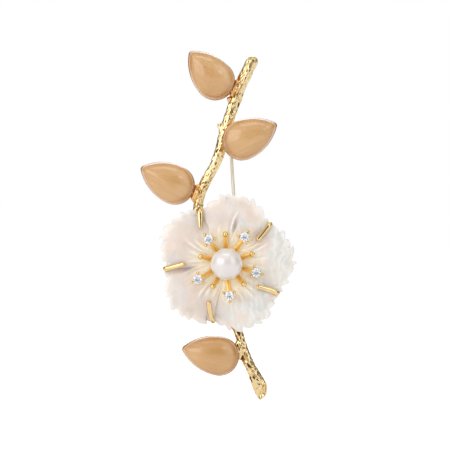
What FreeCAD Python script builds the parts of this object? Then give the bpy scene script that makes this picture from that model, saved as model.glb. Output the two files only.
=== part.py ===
"""Spray brooch: a cast twig with four drop-shaped cabochon leaves and a carved shell blossom.

The twig runs up the back of the whole piece. The blossom is one carved disc of shell with five petals.
It lies on a five-armed plate soldered to the twig, and five wire claws fold over its notches. A spray of
ten stamens stands in its throat, five with a round brilliant in three prongs and five with a ball, and a
half-drilled pearl is cemented on a peg in the middle. A riveted pin stem hangs behind, from a joint on the
twig down to a rotating safety catch on the plate.

Frame, in millimetres: X to the wearer's left as seen from the front, Z up, the front faces -Y. The origin
is the middle of the pin stem, where the cloth holds the brooch.
"""
import FreeCAD, Part
import math
import os

Vector = FreeCAD.Vector
ORIGIN = Vector(0, 0, 0)
FORWARD = Vector(0, -1, 0)

# ---------------------------------------------------------------- pin stem, joint and catch
pin_span = 30.2            # joint axis to the middle of the catch
pin_tilt = 3.5             # degrees that the stem leans, its point towards +X
stem_radius = 0.35
stem_point_length = 5.4    # ground down from just before the catch
stem_past_catch = 2.3      # beyond the catch's barrel
stem_eye_radius = 0.85
stem_eye_width = 0.8
rivet_radius = 0.35
rivet_head_radius = 0.6
rivet_head_length = 0.25
rivet_clearance = 0.03     # the eye turns on the rivet
ear_clearance = 0.06       # each side of the eye
ear_thickness = 0.4
ear_radius = 0.95
joint_base_length = 3.4
joint_base_thickness = 0.35
catch_length = 2.7
catch_outer_radius = 1.6
catch_bore_radius = 1.1
catch_lip_length = 0.45
catch_lip_bore = 0.6
catch_slot_width = 1.0
catch_post_width = 1.9
catch_foot_width = 2.6
lock_clearance = 0.06      # the lock turns in the barrel
lock_bore_radius = 0.5
lock_slot_width = 0.9
lock_lever_thickness = 0.5
lock_lever_width = 0.75
lock_lever_reach = 2.7
lock_knob_radius = 0.42
lever_open_angle = 150     # degrees round the barrel, where the slot faces 90
lever_closed_angle = 30
lever_play = 4             # degrees left at each end of the lever's window

# ---------------------------------------------------------------- blossom
flower_side = -1.55        # centre of the blossom from the origin, along X
flower_drop = -16.3        # and along Z
petal_tip_radius = 15.6
petal_stretch = (0.3, 0.1, 0, 0.2, 0.45)   # how much further each petal reaches, from the first notch on
notch_depth = 3.2
petal_notch_radius = petal_tip_radius - notch_depth
notch_angles = (-175, -104, -30, 42.5, 116.5)      # degrees, where the claws stand
teeth_per_petal = 8
tooth_depth = 0.9
tooth_rake = 0.72          # share of a tooth that its long flank takes
crest_inset = 6.8          # from the petal's tip in to its crest
petal_crest_radius = petal_tip_radius - crest_inset
petal_crest_height = 2.9
petal_dome_radius = 17.0
petal_twist = 5            # degrees by which each crest leans over the next petal
throat_floor = 1.3         # shell left under the stamens
throat_radius = 3.1
throat_mouth_radius = 6.2
shell_hole_radius = 0.65
vein_count = 3
vein_radius = 0.3
vein_spread = 15           # degrees from one vein to the next
vein_bend = 2.5            # degrees that a vein is bent aside at its middle
vein_start = 4.4
vein_margin = 3.8          # left plain inside the petal's tip
vein_end = petal_tip_radius - vein_margin

# ---------------------------------------------------------------- plate and claws behind the blossom
twig_axis_depth = -3.9
twig_radius = 1.2
plate_back_depth = -4.9
plate_thickness = 0.8
plate_radius = 5.6
plate_arm_width = 1.7
claw_radii = (0.55, 0.55, 0.55, 0.55, 0.7)
claw_tip_radii = (0.47, 0.46, 0.48, 0.48, 0.34)
claw_rounding = 0.6        # share of the tip's radius that the rounding of its end takes
claw_clearance = 0.03      # to the shell, where a seat is filed for it
claw_bend_radius = 0.8
claw_reach = 3.5           # from the bottom of its notch in to its tip
claw_stretch = (-0.3, 0, 0.6, 0.45, -0.85)   # how much longer each reach is
claw_outset = (0.55, 0, 0, 0, 0)   # how much further out each stands
claw_bends = (-7, -10, -7, -5, 9.5)  # degrees that each tip is bent aside from its foot

# ---------------------------------------------------------------- stamens, brilliants and pearl
pearl_radius = 3.5
pearl_seat_radius = 1.6
pearl_hole_clearance = 0.05
pearl_hole_depth = 3.2
peg_radius = 0.42
peg_head_radius = 0.95
peg_head_length = 0.35
hub_radius = 2.7
hub_thickness = 0.75
hub_cup_height = 0.55
stamen_count = 10
first_stamen_angle = 128   # degrees; brilliants and balls take turns from here
stamen_bends = (-2, 0, 0, 1, 0, 3, 3, 3, 8, 0)   # degrees that each is bent aside by hand
stamen_stretch = (-0.3, 0.5, 0.2, 0, -0.2, -0.15, 0, -0.25, 0.2, -0.2)   # and how much longer it is
stamen_root_width = 1.15
stamen_end_width = 0.85
stamen_thickness = 0.65
stamen_root_radius = 2.0
stamen_rise = 1.75         # from the hub to the end of a stamen
brilliant_reach = 7.0
ball_reach = 6.05
ball_radius = 0.62
brilliant_radius = 1.05
brilliant_table_share = 0.56
brilliant_crown_height = 0.33
brilliant_girdle = 0.06
main_facets = 8
brilliant_pavilion_depth = 0.86
head_floor = 0.2           # metal under the stone's point
head_foot_radius = 0.5
head_rim_drop = 0.2        # rim of the cone below the girdle
prong_radius = 0.22
seat_clearance = 0.02      # round a brilliant and round the pearl
prong_circle = 1.37
prong_ball_radius = 0.36
prong_lift = 0.22          # middle of the ball above the girdle
bead_sides = 10            # flats round each small ball

# ---------------------------------------------------------------- leaves
leaf_length = 12.55        # cabochon, without its cup
leaf_width = 8.5
leaf_tip_radius = 0.65
leaf_girdle = 0.7
leaf_dome = 3.1
leaf_crown_shift = 1.6     # top of the dome from the head's centre, towards the tip
cup_wall = 0.15
cup_clearance = 0.02
cup_floor = 0.6
cup_rim = 0.55             # above the floor
cup_back_depth = -3.5
petiole_root_width = 3.6
petiole_end_width = 2.6
# Leaves left of the twig: name, height on the twig, gap between cup and twig, degrees their tips point
side_leaves = (
    ("top", 38.6, 0.12, 131.5),
    ("left", 15.5, 0.45, 153),
    ("foot", -18.95, 0.12, 168.5),
)
front_leaf_height = 28.3
front_leaf_angle = 25.5
front_leaf_lap = 0.25      # how far the front leaf laps past the twig's middle line
front_leaf_seat = 0.15     # depth of the flat filed for it

# ---------------------------------------------------------------- twig
# Points of its middle line from the blossom's centre (side, height) and its radius there
twig_points = (
    (5.70, 44.9, 1.08),
    (4.50, 42.5, 1.08),
    (2.75, 38.3, 1.04),
    (1.05, 33.6, 1.00),
    (-0.60, 28.2, 0.98),
    (-1.50, 24.7, 0.98),
    (-3.90, 19.4, 0.96),
    (-5.95, 15.0, 0.94),
    (-6.40, 9.5, 0.92),
    (-4.20, -1.0, 0.90),
    (0.00, -10.0, 0.85),
    (2.55, -15.1, 0.82),
    (4.76, -21.8, 0.93),
    (6.50, -25.3, 1.12),
    (8.05, -28.2, 1.20),
    (9.60, -31.2, 1.22),
)                          # the third value is a share of twig_radius
twig_sections = 36
bark_sides = 8
bark_depth = 0.065         # share of the radius
bark_fade = 2.2            # length at each end over which the bark smooths out
cut_end_height = -28.1     # middle of the slanting cut at the foot, from the blossom's centre
cut_end_turn = 34          # degrees between the cut's normal and the twig's line
cut_end_lean = 28          # degrees that the cut turns to the front
cut_rim = 0.35
cut_hollow = 0.5
shoot_radius = 0.6
shoot_rounding = 0.8       # share of the radius that the rounding of its end takes
# Cut-off side shoots: height on the twig, degrees they point, reach from its middle, whether rounded
side_shoots = (
    (36.8, 190, 2.1, True),
    (27.5, 100, 3.7, False),
)

# ---------------------------------------------------------------- worked out
flower_centre = Vector(flower_side, 0, flower_drop)
plate_front_depth = plate_back_depth - plate_thickness
joint_height = pin_span / 2
catch_height = -pin_span / 2


def export(name, shape):
    """Writes one piece as parts/NAME.step."""
    if not shape.isValid():
        raise ValueError(name + " is not a valid shape")
    shape.exportStep(os.path.join("parts", name + ".step"))
    print(name, "solids", len(shape.Solids), "volume", round(shape.Volume, 2))


def around_flower(radius, angle, height):
    """Point at that radius and angle about the blossom's axis, at a height in front of the plate."""
    a = math.radians(angle)
    return Vector(
        flower_centre.x + radius * math.cos(a),
        plate_front_depth - height,
        flower_centre.z + radius * math.sin(a),
    )


def tilted(shape):
    """Turns a piece that was built with its stem along Z to the stem's real lean."""
    turned = shape.copy()
    turned.rotate(ORIGIN, Vector(0, 1, 0), -pin_tilt)
    return turned


def column(radius, start, end):
    """Round rod between two points."""
    line = end - start
    return Part.makeCylinder(radius, line.Length, start, line)


def box(x, y, z):
    """Block between pairs of limits."""
    return Part.makeBox(x[1] - x[0], y[1] - y[0], z[1] - z[0], Vector(x[0], y[0], z[0]))


def prism(wire, direction):
    """Closed flat wire pushed along a vector."""
    return Part.Face(wire).extrude(direction)


def rounded_end(rod, root, radius):
    """Rounds the rim at the end of a rod that lies furthest from its root."""
    rim = max(rod.Edges, key=lambda edge: (edge.CenterOfMass - root).Length)
    return rod.makeFillet(radius, [rim])


def solid_of(faces):
    """Solid closed by flat faces, each given by its corners."""
    shell = Part.makeShell([Part.Face(Part.makePolygon(corners + corners[:1])) for corners in faces])
    solid = Part.makeSolid(shell)
    if solid.Volume < 0:
        solid.reverse()
    return solid


# ---------------------------------------------------------------- twig
def twig_line():
    """Middle line of the twig as a smooth curve, from its top to its foot."""
    curve = Part.BSplineCurve()
    curve.interpolate([
        Vector(flower_centre.x + side, twig_axis_depth, flower_centre.z + height)
        for side, height, share in twig_points
    ])
    return curve


def twig_radius_at(height):
    """Radius of the twig at a height above the blossom's centre."""
    for (_, top, top_share), (_, low, low_share) in zip(twig_points, twig_points[1:]):
        if height >= low:
            part = min(1.0, max(0.0, (top - height) / (top - low)))
            blend = part * part * (3 - 2 * part)
            return twig_radius * (top_share + (low_share - top_share) * blend)
    return twig_radius * twig_points[-1][2]


def bark(section, side):
    """Share by which the bark swells the twig there: knots along it and ridges round it."""
    turn = 2 * math.pi * side / bark_sides
    knots = math.sin(1.9 * section + 2 * math.sin(turn))
    ridges = math.sin(3 * turn + 1.1 * section)
    lumps = math.sin(2 * turn - 2.3 * section)
    length = twig_points[0][1] - twig_points[-1][1]
    from_top = length * section / twig_sections
    fade = min(1.0, from_top / bark_fade)
    return 1 + fade * bark_depth * (0.5 * knots + 0.45 * ridges + 0.45 * lumps)


def ring(middle, across, radius, section):
    """Closed wavy wire round a point of the middle line."""
    points = []
    for side in range(bark_sides):
        turn = 2 * math.pi * side / bark_sides
        reach = radius * bark(section, side)
        points.append(middle + across * (reach * math.cos(turn)) + FORWARD * (reach * math.sin(turn)))
    curve = Part.BSplineCurve()
    curve.interpolate(Points=points, PeriodicFlag=True)
    return Part.Wire(curve.toShape())


def side_shoot(line, height, angle, reach, rounded):
    """Cut-off side shoot that leaves the twig's middle at a height, with a flat or a rounded end."""
    a = math.radians(angle)
    aim = Vector(math.cos(a), 0, math.sin(a))
    root = twig_point(line, height)
    shoot = Part.makeCylinder(shoot_radius, reach, root, aim)
    return rounded_end(shoot, root, shoot_rounding * shoot_radius) if rounded else shoot


def twig_position(line, height):
    """Parameter of the middle line at a height above the blossom's centre."""
    low, high = line.FirstParameter, line.LastParameter
    for _ in range(40):
        middle = (low + high) / 2
        if line.value(middle).z - flower_centre.z > height:
            low = middle
        else:
            high = middle
    return (low + high) / 2


def twig_point(line, height):
    """Point of the middle line at a height above the blossom's centre."""
    return line.value(twig_position(line, height))


def left_of_twig(line, height):
    """Unit vector square to the twig at a height, to its left as seen from the front."""
    return line.tangent(twig_position(line, height))[0].cross(FORWARD).normalize()


def twig_blank(line):
    """Whole twig with its bark and rounded top, before its seats are filed."""
    first, last = line.FirstParameter, line.LastParameter
    top = line.value(first)
    upward = line.tangent(first)[0] * -1
    across = left_of_twig(line, twig_points[0][1])
    end_radius = twig_radius_at(twig_points[0][1])
    wires = []
    for angle in (75, 50, 25):
        a = math.radians(angle)
        wires.append(ring(top + upward * (end_radius * math.sin(a)), across, end_radius * math.cos(a), 0))
    for section in range(twig_sections + 1):
        position = first + (last - first) * section / twig_sections
        height = line.value(position).z - flower_centre.z
        across = line.tangent(position)[0].cross(FORWARD).normalize()
        wires.append(ring(line.value(position), across, twig_radius_at(height), section))
    stem = Part.makeLoft(wires, True, True)
    shoots = [side_shoot(line, *shoot) for shoot in side_shoots]
    return stem.multiFuse(shoots)


def foot_cutter(line):
    """Everything beyond the slanting cut at the foot, with the hollow that leaves a rim round its face."""
    position = twig_position(line, cut_end_height)
    centre = line.value(position)
    along = line.tangent(position)[0]
    right = left_of_twig(line, cut_end_height) * -1
    turn = math.radians(cut_end_turn)
    lean = math.radians(cut_end_lean)
    flat = along * math.cos(turn) + right * math.sin(turn)
    normal = flat * math.cos(lean) + FORWARD * math.sin(lean)
    size = 8 * twig_radius
    beyond = Part.makeCylinder(size, size, centre, normal)
    hollow_radius = twig_radius_at(cut_end_height) - cut_rim
    core = Part.makeCylinder(hollow_radius, 2 * size, centre - along * size, along)
    hollow = core.common(Part.makeCylinder(size, size, centre - normal * cut_hollow, normal))
    return beyond.fuse(hollow)


# ---------------------------------------------------------------- leaves
def leaf_wire(head, tip_angle, grow, depth, share=1.0):
    """Drop outline: a half circle for the head, two long arcs for the flanks and a small arc for the tip."""
    head_radius = (leaf_width / 2 + grow) * share
    tip_radius = (leaf_tip_radius + grow) * share
    reach = (leaf_length - leaf_width / 2 - leaf_tip_radius) * share
    flank = (reach**2 + head_radius**2 - tip_radius**2) / (2 * (head_radius - tip_radius))
    drop = flank - head_radius
    meet = math.atan2(drop, reach)
    a = math.radians(tip_angle)

    def at(u, v):
        return Vector(
            head.x + u * math.cos(a) - v * math.sin(a),
            depth,
            head.z + u * math.sin(a) + v * math.cos(a),
        )

    def on_flank(angle, side):
        return at(flank * math.cos(angle), side * (flank * math.sin(angle) - drop))

    middle = (math.pi / 2 + meet) / 2
    return Part.Wire([
        Part.Arc(at(0, head_radius), at(-head_radius, 0), at(0, -head_radius)).toShape(),
        Part.Arc(at(0, -head_radius), on_flank(middle, -1), on_flank(meet, -1)).toShape(),
        Part.Arc(on_flank(meet, -1), at(reach + tip_radius, 0), on_flank(meet, 1)).toShape(),
        Part.Arc(on_flank(meet, 1), on_flank(middle, 1), at(0, head_radius)).toShape(),
    ])


def leaf_stone(head, tip_angle, back):
    """Pear cabochon with a straight girdle and a dome that rises to a crown over the head."""
    girdle_depth = back - leaf_girdle
    girdle = prism(leaf_wire(head, tip_angle, 0, back), FORWARD * leaf_girdle)
    a = math.radians(tip_angle)
    crown = head + Vector(math.cos(a), 0, math.sin(a)) * leaf_crown_shift
    wires = []
    for climb in (0, 18, 38, 58, 76):
        share = math.cos(math.radians(climb))
        depth = girdle_depth - leaf_dome * math.sin(math.radians(climb))
        wires.append(leaf_wire(crown + (head - crown) * share, tip_angle, 0, depth, share))
    top = Part.Vertex(crown.x, girdle_depth - leaf_dome, crown.z)
    dome = Part.makeLoft(wires + [top], True, False)
    return girdle.fuse(dome)


def leaf_cup(head, tip_angle, back):
    """Cup that holds a cabochon: a floor with a thin upright wall round it."""
    outside = prism(leaf_wire(head, tip_angle, cup_clearance + cup_wall, back), FORWARD * (cup_floor + cup_rim))
    inside = prism(leaf_wire(head, tip_angle, cup_clearance, back - cup_floor), FORWARD * (2 * cup_rim))
    return outside.cut(inside)


def side_leaf(line, height, gap):
    """Head centre of a leaf beside the twig at a height, and its flat petiole from the twig's middle."""
    root = twig_point(line, height)
    away = left_of_twig(line, height)
    edge = twig_radius_at(height) + gap
    head = root + away * (edge + cup_wall + cup_clearance + leaf_width / 2)
    half_thickness = (cup_floor + cup_rim) / 2
    across = away.cross(FORWARD)
    wires = []
    for reach, width in ((0, petiole_root_width), (edge + 3 * cup_wall, petiole_end_width)):
        centre = root + away * reach
        centre.y = cup_back_depth - half_thickness
        ellipse = Part.Ellipse(centre + across * (width / 2), centre + FORWARD * half_thickness, centre)
        wires.append(Part.Wire(ellipse.toShape()))
    return Vector(head.x, 0, head.z), Part.makeLoft(wires, True, True)


# ---------------------------------------------------------------- blossom
def petal_wire(start, end, tip_radius):
    """Saw-toothed outline of one petal between two notches, closed through the blossom's centre."""
    half = math.radians(end - start) / 2
    axis = math.radians(start) + half
    notch_along = petal_notch_radius * math.cos(half)
    root_radius = tip_radius - tooth_depth
    reach = (root_radius**2 - petal_notch_radius**2) / (2 * (root_radius - notch_along))
    lobe = tip_radius - reach
    sweep = math.atan2(petal_notch_radius * math.sin(half), notch_along - reach)

    def at(radius, angle):
        u = reach + radius * math.cos(angle)
        v = radius * math.sin(angle)
        return Vector(
            flower_centre.x + u * math.cos(axis) - v * math.sin(axis),
            plate_front_depth,
            flower_centre.z + u * math.sin(axis) + v * math.cos(axis),
        )

    step = 2 * sweep / teeth_per_petal
    edges = []
    root = at(lobe - tooth_depth, -sweep)
    first = root
    for tooth in range(teeth_per_petal):
        angle = -sweep + tooth * step
        crest = at(lobe, angle + tooth_rake * step)
        belly = at(lobe - 0.35 * tooth_depth, angle + 0.4 * tooth_rake * step)
        next_root = at(lobe - tooth_depth, angle + step)
        edges.append(Part.Arc(root, belly, crest).toShape())
        edges.append(Part.makeLine(crest, next_root))
        root = next_root
    centre = Vector(flower_centre.x, plate_front_depth, flower_centre.z)
    edges.append(Part.makeLine(root, centre))
    edges.append(Part.makeLine(centre, first))
    return Part.Wire(edges)


def petal_spans():
    """Pairs of notch angles, one for each petal."""
    return list(zip(notch_angles, notch_angles[1:] + (notch_angles[0] + 360,)))


def petal_crest(start, end):
    """Highest point of a petal, which leans over the next one."""
    return around_flower(petal_crest_radius, (start + end) / 2 + petal_twist, petal_crest_height)


def dome_height(point, crest):
    """Height of a petal's dome above the plate's front at a point."""
    away = math.hypot(point.x - crest.x, point.z - crest.z)
    return petal_crest_height - petal_dome_radius + math.sqrt(petal_dome_radius**2 - away**2)


def petal(number):
    """One petal: its outline pushed forward under a dome."""
    start, end = petal_spans()[number]
    crest = petal_crest(start, end)
    dome = Part.makeSphere(petal_dome_radius, crest - FORWARD * petal_dome_radius)
    outline = petal_wire(start, end, petal_tip_radius + petal_stretch[number])
    blank = prism(outline, FORWARD * petal_crest_height)
    leaf = blank.common(dome)
    for place in range(vein_count):
        angle = (start + end) / 2 + vein_spread * (place - (vein_count - 1) / 2)
        leaf = leaf.cut(vein(angle, crest))
    return leaf


def vein(angle, crest):
    """Groove along a petal's face that bends a little and runs out before the teeth."""
    points = []
    for radius, bend, lift in (
        (vein_start, 0, 0),
        ((vein_start + vein_end) / 2, vein_bend, 0.3 * vein_radius),
        (vein_end, 0, 1.1 * vein_radius),
    ):
        point = around_flower(radius, angle + bend, 0)
        point.y = plate_front_depth - dome_height(point, crest) - lift
        points.append(point)
    arc = Part.Arc(*points)
    along = arc.tangent(arc.FirstParameter)[0]
    side = along.cross(FORWARD).normalize() * vein_radius
    up = side.cross(along).normalize() * vein_radius
    start = points[0]
    profile = Part.makePolygon([start - up, start + up + side * 1.4, start + up - side * 1.4, start - up])
    return Part.Wire(arc.toShape()).makePipeShell([profile], True, False)


def flower():
    """Five petals and their common centre, hollowed to a throat and drilled for the peg."""
    petals = [petal(number) for number in range(len(notch_angles))]
    floor = Part.makeCylinder(throat_mouth_radius, throat_floor, around_flower(0, 0, 0), FORWARD)
    shell = petals[0].multiFuse(petals[1:] + [floor]).removeSplitter()
    throat_depth = petal_crest_height - throat_floor
    throat = Part.makeCone(
        throat_radius, throat_mouth_radius, throat_depth, around_flower(0, 0, throat_floor), FORWARD
    )
    hole = Part.makeCylinder(shell_hole_radius, petal_crest_height, around_flower(0, 0, 0), FORWARD)
    return shell.cut(throat).cut(hole)


def largest_solid(shape):
    """The shape without the empty slivers that a cut can leave."""
    return max(shape.Solids, key=lambda solid: solid.Volume)


def claw_stand(number):
    """Distance from the blossom's centre at which a claw stands, outside the bottom of its notch."""
    return petal_notch_radius + claw_clearance + claw_radii[number] + claw_outset[number]


def claw(number, grow=0):
    """Round wire that stands on its arm, bends over the shell's edge and lies along the notch.

    Grown a little, it cuts its own seat in the shell.
    """
    angle = notch_angles[number]
    foot = around_flower(claw_stand(number), angle, 0)
    reach = petal_notch_radius - claw_reach - claw_stretch[number]
    tip = around_flower(reach, angle + claw_bends[number], 0)
    inward = (tip - foot).normalize()
    spans = petal_spans()
    crests = [petal_crest(*spans[number - 1]), petal_crest(*spans[number])]
    under_edge = around_flower(petal_notch_radius, angle, 0)
    edge_height = max(dome_height(under_edge, crest) for crest in crests)
    face_height = max(dome_height(tip, crest) for crest in crests)
    bend_height = edge_height + claw_radii[number] + claw_clearance
    rise = face_height + claw_tip_radii[number] + claw_clearance - bend_height
    slope = math.atan2(rise, (tip - foot).Length - claw_bend_radius)
    turn = math.pi / 2 - slope
    centre = foot + inward * claw_bend_radius + FORWARD * (bend_height - claw_bend_radius)
    shoulder = centre - inward * claw_bend_radius
    turned = centre - inward * (claw_bend_radius * math.cos(turn))
    turned += FORWARD * (claw_bend_radius * math.sin(turn))
    aim = inward * math.cos(slope) + FORWARD * math.sin(slope)
    length = (tip - foot).Length - claw_bend_radius
    root_radius = claw_radii[number] + grow
    stand = column(root_radius, foot, shoulder)
    section = Part.Face(Part.Wire(Part.makeCircle(root_radius, shoulder, FORWARD)))
    bend = section.revolve(centre, FORWARD.cross(inward), math.degrees(turn))
    tip_radius = claw_tip_radii[number] + grow
    run = Part.makeCone(root_radius, tip_radius, length + tip_radius / 2, turned, aim)
    run = rounded_end(run, turned, claw_rounding * tip_radius)
    return stand.multiFuse([bend, run])


def plate():
    """Plate behind the blossom: a disc with an arm out to each claw."""
    disc = Part.makeCylinder(plate_radius, plate_thickness, around_flower(0, 0, -plate_thickness), FORWARD)
    arms = []
    for number, angle in enumerate(notch_angles):
        reach = claw_stand(number) + claw_radii[number]
        arm = box((0, reach), (-plate_thickness, 0), (-plate_arm_width / 2, plate_arm_width / 2))
        arm = arm.common(Part.makeCylinder(reach, plate_thickness, ORIGIN, FORWARD))
        arm.rotate(ORIGIN, Vector(0, 1, 0), -angle)
        arm.translate(around_flower(0, 0, -plate_thickness))
        arms.append(arm)
    behind = around_flower(0, 0, -2 * plate_thickness)
    hole = Part.makeCylinder(peg_radius, 3 * plate_thickness, behind, FORWARD)
    return disc.multiFuse(arms).removeSplitter().cut(hole)


# ---------------------------------------------------------------- pearl, stamens and brilliants
hub_front = throat_floor + hub_thickness
pearl_height = hub_front + math.sqrt(pearl_radius**2 - pearl_seat_radius**2)


def pearl():
    """Round pearl, drilled half through from behind."""
    ball = Part.makeSphere(pearl_radius, around_flower(0, 0, pearl_height))
    back = pearl_height - pearl_radius
    hole = Part.makeCylinder(
        peg_radius + pearl_hole_clearance,
        pearl_hole_depth + pearl_radius,
        around_flower(0, 0, back - pearl_radius),
        FORWARD,
    )
    return ball.cut(hole)


def peg():
    """Post riveted behind the plate, through shell and hub, into the pearl."""
    back = -plate_thickness
    tip = pearl_height - pearl_radius + pearl_hole_depth - pearl_hole_clearance
    post = Part.makeCylinder(peg_radius, tip - back, around_flower(0, 0, back), FORWARD)
    head = Part.makeCylinder(
        peg_head_radius, peg_head_length, around_flower(0, 0, back - peg_head_length), FORWARD
    )
    return post.fuse(head)


def stamen_angle(number):
    """Direction of a stamen, with the small bend that the hand gave it."""
    return first_stamen_angle - 360 / stamen_count * number + stamen_bends[number]


def stamen_reach(number):
    """Length of a stamen from the blossom's centre; brilliants and balls take turns."""
    reach = brilliant_reach if number % 2 == 0 else ball_reach
    return reach + stamen_stretch[number]


def stamen_arm(angle, reach):
    """Tapered bar that climbs outwards from the hub, with rounded upper edges."""
    wires = []
    for radius, width, height in (
        (stamen_root_radius, stamen_root_width, hub_front - stamen_thickness),
        (reach, stamen_end_width, hub_front - stamen_thickness + stamen_rise),
    ):
        across = around_flower(1, angle + 90, 0) - around_flower(0, 0, 0)
        low = around_flower(radius, angle, height)
        high = low + FORWARD * stamen_thickness
        side = across * (width / 2)
        shoulder = across * (width / 2 * 0.55)
        edge = high - FORWARD * (0.35 * stamen_thickness)
        wires.append(Part.makePolygon([
            low - side, low + side, edge + side, high + shoulder, high - shoulder, edge - side, low - side,
        ]))
    return Part.makeLoft(wires, True, True)


def brilliant(seat, turn):
    """Round brilliant facing forward: table, stars, kites, halves, girdle and pavilion, girdle at seat."""
    table_radius = brilliant_radius * brilliant_table_share
    star_radius = brilliant_radius * (0.45 + 0.6 * brilliant_table_share)
    half_turn = math.pi / main_facets
    slope = (star_radius * math.cos(half_turn) - table_radius) / (brilliant_radius - table_radius)
    star_height = brilliant_crown_height * (1 - slope)
    low_radius = brilliant_radius * 0.3
    low_depth = brilliant_pavilion_depth * (1 - 0.3 * math.cos(half_turn))

    def corners(radius, height, count, shift):
        points = []
        for number in range(count):
            a = math.radians(turn + shift + 360 * number / count)
            points.append(seat + Vector(radius * math.cos(a), -height, radius * math.sin(a)))
        return points

    shift = math.degrees(half_turn)
    table = corners(table_radius, brilliant_crown_height, main_facets, 0)
    stars = corners(star_radius, star_height, main_facets, shift)
    upper = corners(brilliant_radius, 0, 2 * main_facets, 0)
    lower = corners(brilliant_radius, -brilliant_girdle, 2 * main_facets, 0)
    low = corners(low_radius, -brilliant_girdle - low_depth, main_facets, shift)
    point = seat + Vector(0, brilliant_girdle + brilliant_pavilion_depth, 0)
    faces = [table]
    for k in range(main_facets):
        main = 2 * k
        half = 2 * k + 1
        following = (2 * k + 2) % (2 * main_facets)
        faces.append([table[k], table[(k + 1) % main_facets], stars[k]])
        faces.append([table[k], stars[k], upper[main], stars[k - 1]])
        faces.append([stars[k], upper[main], upper[half]])
        faces.append([stars[k], upper[half], upper[following]])
        faces.append([upper[main], upper[half], lower[half], lower[main]])
        faces.append([upper[half], upper[following], lower[following], lower[half]])
        faces.append([low[k], lower[main], lower[half]])
        faces.append([low[k], lower[half], lower[following]])
        faces.append([point, low[k], lower[main], low[k - 1]])
    return solid_of(faces)


def brilliant_seat(number):
    """Where the girdle of a stamen's brilliant lies."""
    floor = hub_front + stamen_rise
    girdle = floor + head_floor + brilliant_pavilion_depth + brilliant_girdle
    return around_flower(stamen_reach(number), stamen_angle(number), girdle)


def bead(centre, radius):
    """Small ball in flats: two caps and two bands about the forward axis."""
    rings = []
    for climb in (-45, 0, 45):
        level = math.radians(climb)
        out = radius * math.cos(level)
        rings.append([
            centre + Vector(out * math.cos(turn), -radius * math.sin(level), out * math.sin(turn))
            for turn in (2 * math.pi * side / bead_sides for side in range(bead_sides))
        ])
    faces = []
    for side in range(bead_sides):
        following = (side + 1) % bead_sides
        faces.append([centre - FORWARD * radius, rings[0][side], rings[0][following]])
        for low, high in zip(rings, rings[1:]):
            faces.append([low[side], low[following], high[following], high[side]])
        faces.append([centre + FORWARD * radius, rings[-1][side], rings[-1][following]])
    return solid_of(faces)


def stone_head(number):
    """Cone with three ball-ended prongs that holds a brilliant at the end of its stamen."""
    seat = brilliant_seat(number)
    angle = stamen_angle(number)
    point = seat - FORWARD * (brilliant_girdle + brilliant_pavilion_depth)
    foot = point - FORWARD * (head_floor + stamen_thickness / 2)
    height = foot.y - seat.y - brilliant_girdle - head_rim_drop
    cone = Part.makeCone(head_foot_radius, brilliant_radius * 0.96, height, foot, FORWARD)
    pieces = []
    for prong in range(3):
        a = math.radians(angle + 120 * prong)
        out = Vector(math.cos(a), 0, math.sin(a))
        low = foot + out * (head_foot_radius + 0.1) + FORWARD * (0.3 * height)
        high = seat + out * prong_circle + FORWARD * prong_lift
        pieces.append(column(prong_radius, low, high))
        pieces.append(bead(high, prong_ball_radius))
    seat_cone = Part.makeCone(
        0, brilliant_radius + seat_clearance, brilliant_pavilion_depth + seat_clearance,
        point - FORWARD * seat_clearance, FORWARD,
    )
    return cone.multiFuse(pieces).cut(seat_cone)


def spray():
    """Cast spray: hub with the pearl's cup, ten arms, five balls and five stone heads."""
    hub = Part.makeCylinder(hub_radius, hub_thickness, around_flower(0, 0, throat_floor), FORWARD)
    cup = Part.makeCone(hub_radius, hub_radius - 0.3, hub_cup_height, around_flower(0, 0, hub_front), FORWARD)
    pieces = [cup]
    for number in range(stamen_count):
        angle = stamen_angle(number)
        pieces.append(stamen_arm(angle, stamen_reach(number)))
        if number % 2 == 0:
            pieces.append(stone_head(number))
        else:
            middle = hub_front - stamen_thickness / 2 + stamen_rise
            pieces.append(bead(around_flower(stamen_reach(number), angle, middle), ball_radius))
    whole = hub.multiFuse(pieces)
    whole = whole.cut(Part.makeSphere(pearl_radius + seat_clearance, around_flower(0, 0, pearl_height)))
    hole = Part.makeCylinder(peg_radius, 4 * hub_thickness, around_flower(0, 0, 0), FORWARD)
    return whole.cut(hole)


# ---------------------------------------------------------------- pin hardware, stem along Z
twig_back_depth = twig_axis_depth + twig_radius * 0.9
eye_gap = stem_eye_width / 2 + ear_clearance
ear_outside = eye_gap + ear_thickness


def pin_joint():
    """Folded joint on the back of the twig: a base with two round-topped ears, drilled for the rivet."""
    half = joint_base_length / 2
    base = box(
        (-ear_outside, ear_outside),
        (twig_back_depth - joint_base_thickness, twig_back_depth),
        (joint_height - half, joint_height + half),
    )
    ears = []
    for side in (-1, 1):
        inner = side * eye_gap
        outer = side * ear_outside
        x = (min(inner, outer), max(inner, outer))
        upright = box(x, (twig_back_depth, 0), (joint_height - ear_radius, joint_height + ear_radius))
        round_top = Part.makeCylinder(
            ear_radius, ear_thickness, Vector(x[0], 0, joint_height), Vector(1, 0, 0)
        )
        ears += [upright, round_top]
    whole = base.multiFuse(ears).removeSplitter()
    return whole.cut(rivet_shank())


def rivet_shank():
    """Plain shank of the rivet, through both ears."""
    return Part.makeCylinder(
        rivet_radius, 2 * ear_outside, Vector(-ear_outside, 0, joint_height), Vector(1, 0, 0)
    )


def joint_rivet():
    """Rivet with a domed head at each end."""
    heads = []
    for side in (-1, 1):
        aim = Vector(side, 0, 0)
        start = Vector(side * ear_outside, 0, joint_height)
        heads.append(Part.makeCone(rivet_head_radius, 0.6 * rivet_head_radius, rivet_head_length, start, aim))
    return rivet_shank().multiFuse(heads)


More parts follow.
